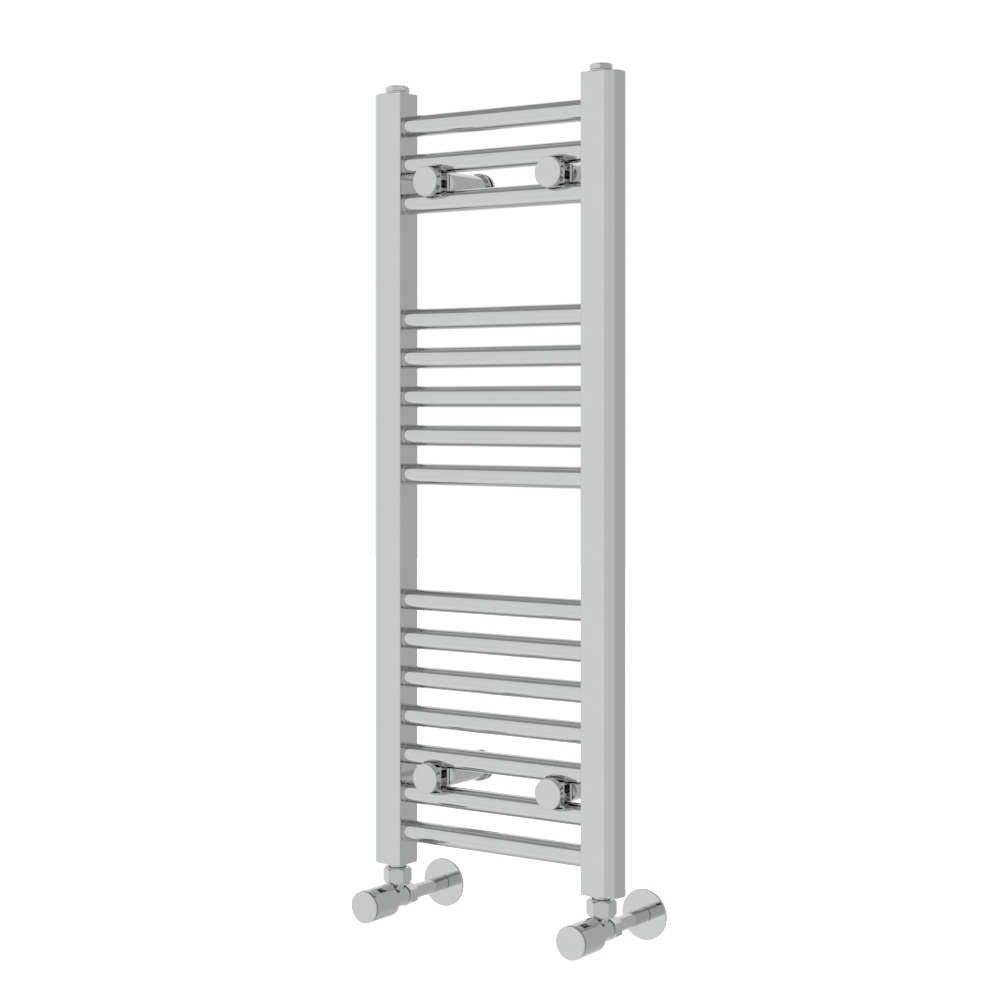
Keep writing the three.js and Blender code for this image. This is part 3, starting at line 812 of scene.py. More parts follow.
@dataclass
class Upright:
    """One of the two D-section tubes that the bars run into."""

    side: Side
    bars: list[float]
    wall: float = 1.5
    corner: float = 1.0
    end_edge: float = 0.8
    end_plate: float = 3.0
    boss_inset: float = 15.0
    boss_wall: float = 2.0
    boss_length: float = 12.0
    socket: float = 21.0
    hole: float = 22.6
    entry: float = 5.0
    arc_steps: int = 40
    extent: Extent = field(init=False)

    def __post_init__(self) -> None:
        """Reads the tube's box."""
        self.extent = Extent.of("upright_" + self.side.word)

    def section(self, inset: float, height: float, edge: float) -> list[Spot]:
        """Draws the tube's section, from the flat inner side at X 0 outwards.

        Args:
            inset: How far inside the outer surface it runs.
            height: Height of the loop.
            edge: How much the loop belongs to a worked edge.

        Returns:
            The loop.
        """
        width, depth = self.extent.size.x, self.extent.size.y
        half = depth / 2 - inset
        corner = max(self.corner - inset, 0.05)
        outer = width - depth / 2
        spots: list[Spot] = []
        for k in range(self.arc_steps + 1):
            angle = math.pi * (k / self.arc_steps - 0.5)
            spot = (outer + half * math.cos(angle), half * math.sin(angle), height)
            spots.append((Vector(spot), edge))
        for sign in (1, -1):
            centre = Vector((inset + corner, sign * (half - corner), height))
            arc = []
            for k in range(ARC_STEPS + 1):
                angle = math.pi / 2 * (1 + k / ARC_STEPS)
                offset = Vector((corner * math.cos(angle), corner * math.sin(angle) * sign, 0))
                arc.append((centre + offset, 1.0))
            beside = Vector((inset + 3 * self.corner, sign * half, height))
            below = Vector((inset, sign * (half - 3 * self.corner), height))
            run = [(beside, edge), *arc, (below, edge)]
            spots += run if sign > 0 else reversed(run)
        return spots

    def tube(self, start: float, end: float, inset: float, edge: float) -> bpy.types.Mesh:
        """Makes a solid with the tube's section and rounded ends.

        Args:
            start: Lower end.
            end: Upper end.
            inset: How far inside the outer surface it runs.
            edge: Rounding of both ends.

        Returns:
            A closed mesh in millimetres.
        """
        low, high = [], []
        for k in range(ARC_STEPS + 1):
            angle = math.pi / 2 * k / ARC_STEPS
            step, drop = edge * (1 - math.sin(angle)), edge * (1 - math.cos(angle))
            low.append(self.section(inset + step, start + drop, 1.0))
            high.append(self.section(inset + step, end - drop, 1.0))
        if not edge:
            low, high = low[:1], high[:1]
        else:
            low.append(self.section(inset, start + 3 * edge, 0.0))
            high.append(self.section(inset, end - 3 * edge, 0.0))
        return lofted("upright", [*low, *reversed(high)])

    def build(self) -> None:
        """Makes the tube with its cavity, end sockets and bar holes, and shows it."""
        height = self.extent.size.z
        boss_end = self.end_plate + self.boss_length
        ends = ((0.0, boss_end), (height - boss_end, height))
        aside = Matrix.Translation((self.boss_inset, 0, 0))

        def plug(diameter: float, start: float, end: float) -> bpy.types.Mesh:
            """Makes a rod on the sockets' axis."""
            return placed(rod("plug", diameter, start, end), aside)

        cavity = self.tube(self.end_plate, height - self.end_plate, self.wall, 0.0)
        boss = self.socket + 2 * self.boss_wall
        bosses = [(Cut.AWAY, plug(boss, low - 1, high + 1)) for low, high in ends]
        cavity = worked(cavity, bosses)
        tools = [(Cut.AWAY, cavity)]
        tools += [(Cut.AWAY, plug(self.socket, low - 1, high + 1)) for low, high in ends]
        depth = self.wall + self.entry + GAP
        for bar in self.bars:
            hole = rod("hole", self.hole, -1, depth)
            place = Matrix.Translation((0, 0, bar - self.extent.low.z)) @ Way.ALONG.matrix()
            tools.append((Cut.AWAY, placed(hole, place)))
        tube = worked(self.tube(0.0, height, 0.0, self.end_edge), tools)
        if self.side is Side.LEFT:
            tube.transform(Matrix.Rotation(math.pi, 4, "Z"))
        inner = self.extent.low.x if self.side is Side.RIGHT else self.extent.high.x
        origin = Vector((inner, self.extent.middle.y, self.extent.low.z))
        show("upright_" + self.side.word, tube, TUBE_CHROME, origin)


@dataclass
class Bars:
    """The level tubes between the uprights, each brazed in with a small fillet."""

    count: int = 15
    wall: float = 1.2
    fillet: float = 0.7
    sink: float = 0.05

    def names(self) -> list[str]:
        """Names of the bars' nodes, from the top down."""
        return [f"bar_{i:02d}" for i in range(1, self.count + 1)]

    def heights(self) -> list[float]:
        """Heights of the bars' axes, from the top down."""
        return [Extent.of(name).middle.z for name in self.names()]

    def build(self, inner_face: float) -> None:
        """Makes one tube and shows it at every bar's place.

        Args:
            inner_face: Distance from the middle of the rail to an upright.
        """
        first = Extent.of(self.names()[0])
        radius, half = first.size.z / 2, first.size.x / 2
        face = inner_face + self.sink

        def end(sign: int) -> list[Ring]:
            """Draws one end of the tube, from its rim in to its fillet."""
            rings = [Ring(radius, sign * half, edge=1.0), Ring(radius, sign * face)]
            for k in range(ARC_STEPS + 3):
                angle = math.pi / 2 * k / (ARC_STEPS + 2)
                out = self.fillet * (1 - math.sin(angle))
                along = self.fillet * (1 - math.cos(angle))
                rings.append(Ring(radius + out, sign * (face - along)))
            rings.append(Ring(radius, sign * (face - 3 * self.fillet)))
            return rings

        bore = radius - self.wall
        rings = end(-1) + end(1)[::-1] + [Ring(bore, half), Ring(bore, -half)]
        tube = turned("bar", rings)
        for name in self.names():
            show(name, tube, TUBE_CHROME, Extent.of(name).middle, Way.ALONG)


@dataclass
class Plugs:
    """The hexagon plugs in the tops of the uprights: one with a bleed screw, one blank."""

    thread_length: float = 10.0
    thread: float = 20.4
    pitch: float = 1.814
    flange: float = 24.6
    flange_height: float = 2.0
    head: float = 21.5
    chamfer: float = 0.8
    undercut: float = 0.35
    vent_turn: float = -14.5
    blank_turn: float = -5.0
    recess: float = 9.0
    recess_depth: float = 5.0
    screw: float = 5.0
    screw_head: float = 4.0
    screw_pitch: float = 0.8
    slack: float = 0.8
    dish: float = 14.6
    dish_depth: float = 0.35
    seal: float = 24.0

    def body(self, name: str, top: float, turn: float, inside: list[Ring]) -> bpy.types.Mesh:
        """Makes a plug about its own axis, its seat on the upright at height 0.

        Args:
            name: Name of the mesh.
            top: Height of the head's end face.
            turn: Degrees that the head has stopped at, from having a flat forward.
            inside: Rings from the head's end face inwards.

        Returns:
            The plug's mesh.
        """
        base = self.flange_height + GAP
        face = self.head - self.chamfer
        foot = Ring(self.head / 2 - 0.2, base + self.undercut, 6, edge=1.0)
        rings = [] if inside[-1].radius else [Ring(0, -self.thread_length)]
        rings += [
            Ring(self.thread / 2 - 1, -self.thread_length),
            *thread(self.thread, -self.thread_length + 0.8, -0.4, self.pitch),
            Ring(self.thread / 2 - 0.5, GAP),
            Ring(self.flange / 2 - 0.3, GAP),
            Ring(self.flange / 2, GAP + 0.3, edge=1.0),
            Ring(self.flange / 2, base - self.undercut - 0.3, edge=1.0),
            Ring(self.flange / 2 - 0.3, base - self.undercut, edge=1.0),
            Ring(self.head / 2 - 1.5, base - self.undercut),
            Ring(self.head / 2 - 1.5, base + self.undercut),
            foot,
            replace(foot, radius=self.head / 2, height=foot.height + 0.2),
            *nut_end(self.head, face, top, 2 * self.chamfer)[::-1],
            *inside,
        ]
        return turned(name, rings, turn)

    def build(self, upright_top: float) -> None:
        """Makes both plugs, the bleed screw and the seals, and shows them.

        Args:
            upright_top: Height of the uprights' top ends.
        """
        seat = {
            node: Extent.of(node).middle.xy.to_3d() + Vector((0, 0, upright_top))
            for node in ("blank_plug", "vent_plug")
        }
        top = Extent.of("blank_plug").high.z - upright_top
        floor = top - self.recess_depth
        dish, dish_floor = self.dish / 2, top - self.dish_depth
        blank = [Ring(dish + 0.3, top), Ring(dish, dish_floor, edge=1.0), Ring(0, dish_floor)]
        blank_mesh = self.body("blank plug", top, self.blank_turn, blank)
        bore = self.screw / 2 + GAP
        mouth = self.recess / 2
        inside = [
            Ring(mouth + 0.4, top),
            Ring(mouth, top - 0.4, edge=1.0),
            Ring(mouth, floor),
            Ring(bore, floor),
            Ring(bore, -self.thread_length),
        ]
        vent_mesh = self.body("vent plug", top, self.vent_turn, inside)
        show("blank_plug", blank_mesh, FITTING_CHROME, seat["blank_plug"])
        show("vent_plug", vent_mesh, FITTING_CHROME, seat["vent_plug"])

        squared = self.screw_head / 2
        tip = -self.thread_length
        shoulder = floor + self.slack
        end = Extent.of("bleed_screw").high.z - upright_top
        screw_rings = [
            Ring(0, tip),
            Ring(0.3, tip + 0.2),
            Ring(self.screw / 2, tip + self.screw / 2, edge=1.0),
            *thread(self.screw, tip + self.screw / 2 + 0.5, floor - 1, self.screw_pitch),
            Ring(self.screw / 2, floor),
            Ring(self.screw / 2, shoulder - 0.2, edge=1.0),
            Ring(self.screw / 2 - 0.2, shoulder, edge=1.0),
            Ring(squared - 0.1, shoulder, 4),
            Ring(squared, shoulder + 0.2, 4),
            Ring(squared, end - 0.35, 4, edge=1.0),
            Ring(squared - 0.3, end, 4, edge=1.0),
            Ring(0, end),
        ]
        show("bleed_screw", turned("bleed screw", screw_rings, 45), BRASS, seat["vent_plug"])

        fat = GAP / 2 + 0.02
        outer, inner = self.seal / 2, self.thread / 2 - 0.1
        ring = [
            Ring(inner, 0.0), Ring(outer - fat, 0.0), Ring(outer, fat), Ring(outer - fat, 2 * fat),
            Ring(inner, 2 * fat),
        ]
        seal_mesh = turned("plug seal", ring)
        for node, spot in seat.items():
            show(node, seal_mesh, RUBBER, spot, extra="seal")


@dataclass
class Bracket:
    """A wall bracket that clamps two bars between a round cap and an arm.

    Heights are distances from the wall.
    """

    place: str
    cap_length: float = 8.0
    nose: float = 23.0
    arm: float = 27.0
    arm_bore: float = 20.0
    arm_chamfer: float = 2.9
    nose_length: float = 3.7
    neck: float = 16.0
    web: float = 13.0
    collar_length: float = 3.0
    adjustment: float = 3.5
    cup_base: float = 3.0
    cup_bore: float = 14.0
    wall_screw_hole: float = 5.5
    screw: float = 8.0
    screw_head: float = 13.0
    screw_head_length: float = 5.5
    screw_socket: float = 5.0
    screw_socket_depth: float = 3.0
    screw_pitch: float = 1.25
    grub: float = 4.4
    grub_socket: float = 2.0
    grub_socket_depth: float = 1.4
    grub_pitch: float = 0.7

    def node(self, part: str) -> str:
        """Name of one of the bracket's nodes."""
        return f"bracket_{self.place}_{part}"

    def saddles(self, upper: Extent, lower: Extent) -> list[tuple[Cut, bpy.types.Mesh]]:
        """Makes the two bars, with clearance, as cutters about the bracket's own axis.

        Args:
            upper: Box of the upper bar.
            lower: Box of the lower bar.

        Returns:
            The cuts.
        """
        half = (upper.middle.z - lower.middle.z) / 2
        distance = -upper.middle.y
        cuts = []
        for sign in (1, -1):
            bar = rod("saddle", upper.size.z + 2 * GAP, -self.arm, self.arm)
            place = Matrix.Translation((0, sign * half, distance)) @ Way.ALONG.matrix()
            cuts.append((Cut.AWAY, placed(bar, place)))
        return cuts

    def clamp_mesh(self, upper: Extent, lower: Extent) -> bpy.types.Mesh:
        """Makes the front clamp: a round cap, with a square nose that goes in between the bars.

        Args:
            upper: Box of the upper bar that it holds.
            lower: Box of the lower bar.

        Returns:
            The clamp's mesh.
        """
        clamp = Extent.of(self.node("front_clamp"))
        front, nose_back = -clamp.low.y, -clamp.high.y
        cap_back = front - self.cap_length
        hole_end = self.screw_tip() + 1
        rings = rounded([
            Corner(0, cap_back),
            Corner(clamp.size.x, cap_back, 0.3),
            Corner(clamp.size.x, front, 0.9),
            Corner(0, front),
        ])
        return worked(turned("front clamp", rings), [
            (Cut.JOIN, block(self.nose, nose_back, cap_back + 1)),
            *self.saddles(upper, lower),
            (Cut.AWAY, rod("hole", self.screw + 2 * GAP, nose_back - 1, hole_end)),
        ])

    def arm_mesh(self, upper: Extent, lower: Extent) -> bpy.types.Mesh:
        """Makes the hollow arm with its collar, shoulders, neck and square nose.

        Args:
            upper: Box of the upper bar that it holds.
            lower: Box of the lower bar.

        Returns:
            The arm's mesh.
        """
        collar = Extent.of(self.node("wall_cup")).size.x
        collar_rear = self.cup_base + self.adjustment
        collar_front = collar_rear + self.collar_length
        web_rear = self.head_front() + GAP
        arm_front = web_rear + self.web
        nose_front = -Extent.of(self.node("arm")).low.y
        nose_rear = nose_front - self.nose_length
        rings = rounded([
            Corner(collar, collar_rear, 0.3),
            Corner(collar, collar_front, 0.5),
            Corner(self.arm, collar_front, 0.4),
            Corner(self.arm, arm_front),
            Corner(0, arm_front),
            Corner(0, web_rear),
            Corner(self.arm_bore, web_rear),
            Corner(self.arm_bore, collar_rear, 0.3),
        ])
        reach = self.arm / 2 + arm_front - self.arm_chamfer
        shoulders = rod("shoulders", reach * math.sqrt(2), -collar, collar, 4)
        grub_height = -Extent.of(self.node("grub_screw")).middle.y
        upwards = Matrix.Rotation(-math.pi / 2, 4, "X")
        grub_place = Matrix.Translation((0, 0, grub_height)) @ upwards
        grub_hole = rod("hole", self.grub + 2 * GAP, 0, collar)
        return worked(turned("arm", rings), [
            (Cut.KEEP, placed(shoulders, Matrix.Rotation(math.pi / 2, 4, "X"))),
            (Cut.JOIN, block(self.neck, arm_front - 1, nose_rear + 1)),
            (Cut.JOIN, block(self.nose, nose_rear, nose_front)),
            *self.saddles(upper, lower),
            (Cut.AWAY, rod("hole", self.screw + 2 * GAP, web_rear - 1, nose_front + 1)),
            (Cut.AWAY, placed(grub_hole, grub_place)),
        ])

    def screw_tip(self) -> float:
        """Front end of the clamp screw."""
        return -Extent.of(self.node("clamp_screw")).low.y

    def head_rear(self) -> float:
        """Rear end of the clamp screw's head."""
        return -Extent.of(self.node("clamp_screw")).high.y

    def head_front(self) -> float:
        """Where the clamp screw's head ends and its shank starts."""
        return self.head_rear() + self.screw_head_length

    def clamp_screw_mesh(self) -> bpy.types.Mesh:
        """Makes the socket-headed screw that pulls the clamp to the arm."""
        rear, front, tip = self.head_rear(), self.head_front(), self.screw_tip()
        socket, head, shank = self.screw_socket / 2, self.screw_head / 2, self.screw / 2
        return turned("clamp screw", [
            Ring(0, rear + self.screw_socket_depth),
            Ring(socket, rear + self.screw_socket_depth, 6),
            Ring(socket, rear + 0.2, 6),
            Ring(socket + 0.25, rear, 6, edge=1.0),
            Ring(head - 0.5, rear, edge=1.0),
            Ring(head, rear + 0.5, edge=1.0),
            Ring(head, front - 0.15, edge=1.0),
            Ring(head - 0.15, front),
            Ring(shank + 0.2, front),
            Ring(shank, front + 0.3),
            Ring(shank, front + 3),
            *thread(self.screw, front + 3.2, tip - 0.8, self.screw_pitch),
            Ring(shank - 0.8, tip, edge=1.0),
            Ring(0, tip),
        ])

    def wall_cup_mesh(self) -> bpy.types.Mesh:
        """Makes the wall cup: a base on the wall and a stem that the arm slides on."""
        cup = Extent.of(self.node("wall_cup"))
        collar, stem, stem_end = cup.size.x, self.arm_bore - 2 * GAP, -cup.low.y
        return turned("wall cup", rounded([
            Corner(self.wall_screw_hole, 0),
            Corner(collar, 0),
            Corner(collar, self.cup_base, 0.5),
            Corner(stem, self.cup_base, 0.4),
            Corner(stem, stem_end, 0.4),
            Corner(self.cup_bore, stem_end, 0.3),
            Corner(self.cup_bore, self.cup_base),
            Corner(self.wall_screw_hole, self.cup_base),
        ]))

    def grub_screw_mesh(self) -> bpy.types.Mesh:
        """Makes the grub screw, upright, that holds the arm on the cup's stem."""
        extent = Extent.of(self.node("grub_screw"))
        low, high = extent.low.z - self.axis().z, extent.high.z - self.axis().z
        floor = high - self.grub_socket_depth
        socket, screw = self.grub_socket / 2, self.grub / 2
        return turned("grub screw", [
            Ring(0, low),
            Ring(screw - 0.5, low, edge=1.0),
            *thread(self.grub, low + 0.4, high - 0.3, self.grub_pitch),
            Ring(screw - 0.4, high, edge=1.0),
            Ring(socket + 0.15, high, 6, edge=1.0),
            Ring(socket, high - 0.15, 6),
            Ring(socket, floor, 6),
            Ring(0, floor),
        ])

    def meshes(self, upper: Extent, lower: Extent) -> dict[str, bpy.types.Mesh]:
        """Makes the bracket's pieces about its own axis.

        Args:
            upper: Box of the upper bar that it holds.
            lower: Box of the lower bar.

        Returns:
            A mesh for each part's name.
        """
        return {
            "front_clamp": self.clamp_mesh(upper, lower),
            "arm": self.arm_mesh(upper, lower),
            "clamp_screw": self.clamp_screw_mesh(),
            "wall_cup": self.wall_cup_mesh(),
            "grub_screw": self.grub_screw_mesh(),
        }

    def axis(self) -> Vector:
        """Where the bracket's axis meets the wall."""
        cup = Extent.of(self.node("wall_cup"))
        return Vector((cup.middle.x, 0, cup.middle.z))

    def build(self, meshes: dict[str, bpy.types.Mesh]) -> None:
        """Shows the bracket's pieces.

        Args:
            meshes: The pieces, which all the brackets share.
        """
        finishes = {"clamp_screw": STEEL, "grub_screw": STEEL}
        for part, mesh in meshes.items():
            node = self.node(part)
            finish = finishes.get(part, FITTING_CHROME)
            if part == "grub_screw":
                spot = Extent.of(node).middle
                origin = Vector((spot.x, spot.y, self.axis().z))
                show(node, mesh, finish, origin, Way.UP)
            else:
                show(node, mesh, finish, self.axis(), Way.ROOM)


class ValveKind(Enum):
    """The two valves, which differ in what is under the knob."""

    LOCK = "lock_valve"
    WHEEL = "wheel_valve"


@dataclass
class Valve:
    """An angled valve with its union, supply pipe and cover plate.

    Places on its level pieces (rear, front, floor, shoulder, end) are distances from its upright
    axis towards the room, and places on its upright pieces are heights above its level axis.
    """

    kind: ValveKind
    barrel: float = 20.0
    barrel_rear: float = -8.7
    barrel_front: float = 20.0
    stub: float = 17.0
    pipe_stop: float = -8.0
    seat_face: float = -5.0
    seat_bore: float = 8.4
    chamber: float = 14.0
    chamber_front: float = 12.0
    neck: float = 14.0
    neck_bore: float = 9.6
    neck_thread: float = 20.6
    neck_thread_from: float = 16.0
    neck_fillet: float = 1.6
    pipe: float = 15.0
    pipe_wall: float = 1.0
    socket_thread: float = 20.4
    pipe_pitch: float = 1.814
    fine_pitch: float = 1.0
    tail_width: float = 17.0
    tail_bore: float = 12.0
    tail_flange: float = 2.6
    tail_thread_length: float = 11.0
    union: float = 26.0
    union_upper_fall: float = 2.6
    union_lower_fall: float = 4.0
    union_mouth: float = 18.8
    union_web: float = 3.2
    compression_web: float = 2.4
    olive_front: float = -17.3
    olive_length: float = 2.0
    olive_rise: float = 1.0
    gland: float = 10.0
    gland_front: float = 18.0
    headwork_flange: float = 3.7
    headwork_step: float = 1.8
    headwork_neck_step: float = 1.0
    spindle_nose: float = 4.6
    spindle_shoulder: float = 18.3
    spindle_round_end: float = 40.0
    shaft: float = 6.0
    square: float = 5.0
    jumper_disc: float = 3.0
    jumper_floor: float = 4.2
    jumper_stem: float = 9.0
    knob_end: float = 6.0
    knob_wall: float = 2.7
    groove_from_end: float = 1.9
    groove: float = 0.8
    groove_depth: float = 1.2
    lock_hub_rear: float = 26.0
    lock_hub_wall: float = 2.0
    wheel_hub: float = 13.0
    wheel_hub_rear: float = 38.0
    wheel_hub_mouth: float = 7.2
    wheel_socket_end: float = 50.0

    def node(self, part: str) -> str:
        """Name of one of the valve's nodes."""
        return f"{self.kind.value}_{part}"

    def origin(self) -> Vector:
        """Where the valve's two axes cross."""
        pipe = Extent.of(self.node("pipe"))
        tail = Extent.of(self.node("tail"))
        return Vector((pipe.middle.x, tail.middle.y, pipe.middle.z))

    def depths(self, part: str) -> tuple[float, float]:
        """Rear and front of a level piece, from the upright axis towards the room."""
        extent = Extent.of(self.node(part))
        return self.origin().y - extent.high.y, self.origin().y - extent.low.y

    def neck_loops(self, top: float) -> list[list[Spot]]:
        """Makes the loops of the upright neck, flared where it meets the barrel.

        Args:
            top: Upper end of the neck.

        Returns:
            The loops from the barrel's inside up to the neck's thread and back to its axis.
        """
        radius, round_radius, fillet = self.neck / 2, self.barrel / 2, self.neck_fillet
        angles = [k * math.tau / SEGMENTS for k in range(SEGMENTS)]
        steps = 2 * ARC_STEPS
        loops: list[list[Spot]] = []

        def spot(angle: float, reach: float, height: float) -> Vector:
            """Places a point round the neck's axis."""
            return Vector((reach * math.cos(angle), reach * math.sin(angle), height))

        foot = radius + fillet
        loops.append([(spot(a, foot, 0.0), 0.0) for a in angles])
        for k in range(steps + 1):
            share = 1 - k / steps
            loop = []
            for angle in angles:
                across = foot * math.cos(angle)
                low = math.sqrt(round_radius**2 - across**2)
                slope = -foot * math.cos(angle) ** 2 / low
                bend = low - slope * fillet
                high = math.sqrt(round_radius**2 - (radius * math.cos(angle)) ** 2) + fillet
                high = max(high, bend + 0.3 * fillet)
                reach = radius * (1 - share**2) + foot * share**2
                height = (1 - share) ** 2 * high + 2 * share * (1 - share) * bend + share**2 * low
                sink = 0.04 * share**4
                loop.append((spot(angle, reach, height - sink), 0.0))
            loops.append(loop)
        start = self.neck_thread_from
        ends = [
            Ring(radius, start - 0.4),
            Ring(radius, start),
            Ring(self.neck_thread / 2 - 0.6, start),
            *thread(self.neck_thread, start + 0.5, top - 0.5, self.pipe_pitch),
            Ring(self.neck_thread / 2 - 0.8, top, edge=1.0),
        ]
        loops += [[(ring.point(a), ring.edge) for a in angles] for ring in ends]
        return [[(Vector(), 0.0)], *loops, [(Vector((0, 0, top)), 0.0)]]

    def body(self) -> bpy.types.Mesh:
        """Makes the valve's body, about its level axis, with its passages.

        Returns:
            The body's mesh, in the frame of a piece that lies towards the room.
        """
        rear, front = self.depths("body")
        top = Extent.of(self.node("body")).high.z
        blank = rounded([
            Corner(0, rear),
            Corner(self.stub - 1.0, rear),
        ])
        blank += thread(self.stub, rear + 0.6, self.barrel_rear - 1.2, self.fine_pitch)
        blank += [Ring(self.stub / 2 - 0.5, self.barrel_rear)]
        blank += rounded([
            Corner(self.stub, self.barrel_rear),
            Corner(self.barrel, self.barrel_rear, 0.5),
            Corner(self.barrel, front, 0.4),
            Corner(0, front),
        ])[1:]
        passage = [
            Ring(0, rear - 1),
            Ring(self.pipe / 2 + GAP, rear - 1),
            Ring(self.pipe / 2 + GAP, self.pipe_stop),
            Ring(self.seat_bore / 2, self.pipe_stop),
            Ring(self.seat_bore / 2, self.seat_face),
            Ring(self.chamber / 2, self.seat_face),
            Ring(self.chamber / 2, self.chamber_front),
            Ring(self.headwork_thread() / 2 + GAP, self.chamber_front),
            Ring(self.headwork_thread() / 2 + GAP, front + 1),
            Ring(0, front + 1),
        ]
        upright = Way.ROOM.matrix().inverted()
        neck = placed(lofted("neck", self.neck_loops(top)), upright)
        outlet = placed(rod("outlet", self.neck_bore, 0, top + 1), upright)
        return worked(
            turned("valve body", blank),
            [(Cut.JOIN, neck), (Cut.AWAY, turned("passage", passage)), (Cut.AWAY, outlet)],
        )

    def headwork_thread(self) -> float:
        """Diameter of the thread that screws into the body's front."""
        return Extent.of(self.node("headwork")).size.x - 2 * self.headwork_step

    def headwork_neck(self) -> float:
        """Diameter of the headwork in front of its flange."""
        return self.headwork_thread() - 2 * self.headwork_neck_step

    def tail(self) -> bpy.types.Mesh:
        """Makes the union's tail, which screws up into the upright."""
        extent = Extent.of(self.node("tail"))
        seat, top = extent.low.z, extent.high.z
        flange, width, bore = self.neck_thread, self.tail_width, self.tail_bore
        flange_top = seat + self.tail_flange
        under = top - self.tail_thread_length
        rings = rounded([
            Corner(bore, seat, 0.3),
            Corner(flange, seat, 0.3),
            Corner(flange, flange_top, 0.3),
            Corner(width, flange_top),
            Corner(width, under),
        ])
        rings += thread(self.socket_thread, under + 0.1, top - 0.6, self.pipe_pitch)
        rings += [Ring(self.socket_thread / 2 - 0.9, top, edge=1.0), Ring(bore / 2, top)]
        return turned("union tail", rings)

    def union_nut(self) -> bpy.types.Mesh:
        """Makes the union nut, with a corner towards the room."""
        extent = Extent.of(self.node("union_nut"))
        low, top = extent.low.z, extent.high.z
        upper = nut_end(self.union, self.union - 0.8, top, self.union_upper_fall)
        lower = nut_end(self.union, self.union - 2.4, low, -self.union_lower_fall)
        inner, mouth = self.neck_thread / 2 + GAP, self.union_mouth / 2
        shoulder = top - self.union_web
        inside = [
            Ring(mouth + 0.6, top),
            Ring(mouth, top - 0.6, edge=1.0),
            Ring(mouth, shoulder),
            Ring(inner, shoulder),
            Ring(inner, low + 0.5),
            Ring(inner + 0.5, low, edge=1.0),
        ]
        return turned("union nut", [*lower, *upper[::-1], *inside], 30)

    def compression_nut(self) -> bpy.types.Mesh:
        """Makes the compression nut, with a corner upwards."""
        rear, front = self.depths("compression_nut")
        flats = Extent.of(self.node("compression_nut")).size.x
        face, fall = flats - 0.3, 1.0
        bore, inner = self.pipe / 2 + GAP, self.stub / 2 + GAP
        step = rear + self.compression_web
        inside = [
            Ring(inner + 0.4, front),
            Ring(inner, front - 0.4, edge=1.0),
            Ring(inner, step),
            Ring(bore, step),
            Ring(bore, rear + 0.3),
            Ring(bore + 0.3, rear, edge=1.0),
        ]
        lower, upper = nut_end(flats, face, rear, -fall), nut_end(flats, face, front, fall)
        return turned("compression nut", [*lower, *upper[::-1], *inside], 30)

    def headwork(self) -> bpy.types.Mesh:
        """Makes the headwork, the screwed-in neck that carries the spindle."""
        rear, front = self.depths("headwork")
        flange = Extent.of(self.node("headwork")).size.x
        flange_rear = self.barrel_front + GAP
        flange_front = flange_rear + self.headwork_flange
        bore = self.shaft + 2 * GAP
        neck = self.headwork_neck()
        rings = [
            Ring(self.headwork_thread() / 2 - 0.6, rear, edge=1.0),
            *thread(self.headwork_thread(), rear + 0.5, flange_rear - 0.8, self.fine_pitch),
            Ring(self.headwork_thread() / 2 - 0.4, flange_rear),
        ]
        rings += rounded([
            Corner(self.headwork_thread(), flange_rear),
            Corner(flange, flange_rear, 0.3),
            Corner(flange, flange_front, 0.3),
            Corner(neck, flange_front, 0.3),
            Corner(neck, front, 0.5),
            Corner(bore, front, 0.2),
            Corner(bore, self.gland_front),
            Corner(self.gland, self.gland_front),
            Corner(self.gland, rear),
        ])[1:]
        return turned("headwork", rings)

    def spindle(self) -> bpy.types.Mesh:
        """Makes the spindle, round with a square end for the handwheel."""
        rear, front = self.depths("spindle")
        nose, shaft, square = self.spindle_nose, self.shaft, self.square
        shoulder, round_end = self.spindle_shoulder, self.spindle_round_end
        rings = [
            Ring(0, rear),
            Ring(nose / 2 - 0.4, rear, edge=1.0),
            *thread(nose, rear + 0.4, shoulder - 3, 0.8),
            Ring(nose / 2, shoulder),
            Ring(shaft / 2 - 0.2, shoulder, edge=1.0),
            Ring(shaft / 2, shoulder + 0.2, edge=1.0),
            Ring(shaft / 2, round_end - 0.3, edge=1.0),
            Ring(shaft / 2 - 0.3, round_end, edge=1.0),
            Ring(square / 2 - 0.1, round_end, 4),
            Ring(square / 2, round_end + 0.2, 4),
            Ring(square / 2, front - 0.5, 4, edge=1.0),
            Ring(square / 2 - 0.4, front, 4, edge=1.0),
            Ring(0, front),
        ]
        return turned("spindle", rings, 45)

    def jumper(self) -> bpy.types.Mesh:
        """Makes the jumper, the disc that closes the seat, with its hollow stem."""
        rear, front = self.depths("jumper")
        width = Extent.of(self.node("jumper")).size.x
        disc_front, floor = rear + self.jumper_disc, rear + self.jumper_floor
        bore = self.spindle_nose + 2 * GAP
        rings = rounded([
            Corner(0, rear),
            Corner(width, rear, 0.5),
            Corner(width, disc_front, 0.3),
            Corner(self.jumper_stem, disc_front),
            Corner(self.jumper_stem, front, 0.3),
            Corner(bore, front, 0.2),
            Corner(bore, floor),
            Corner(0, floor),
        ])
        return turned("jumper", rings)

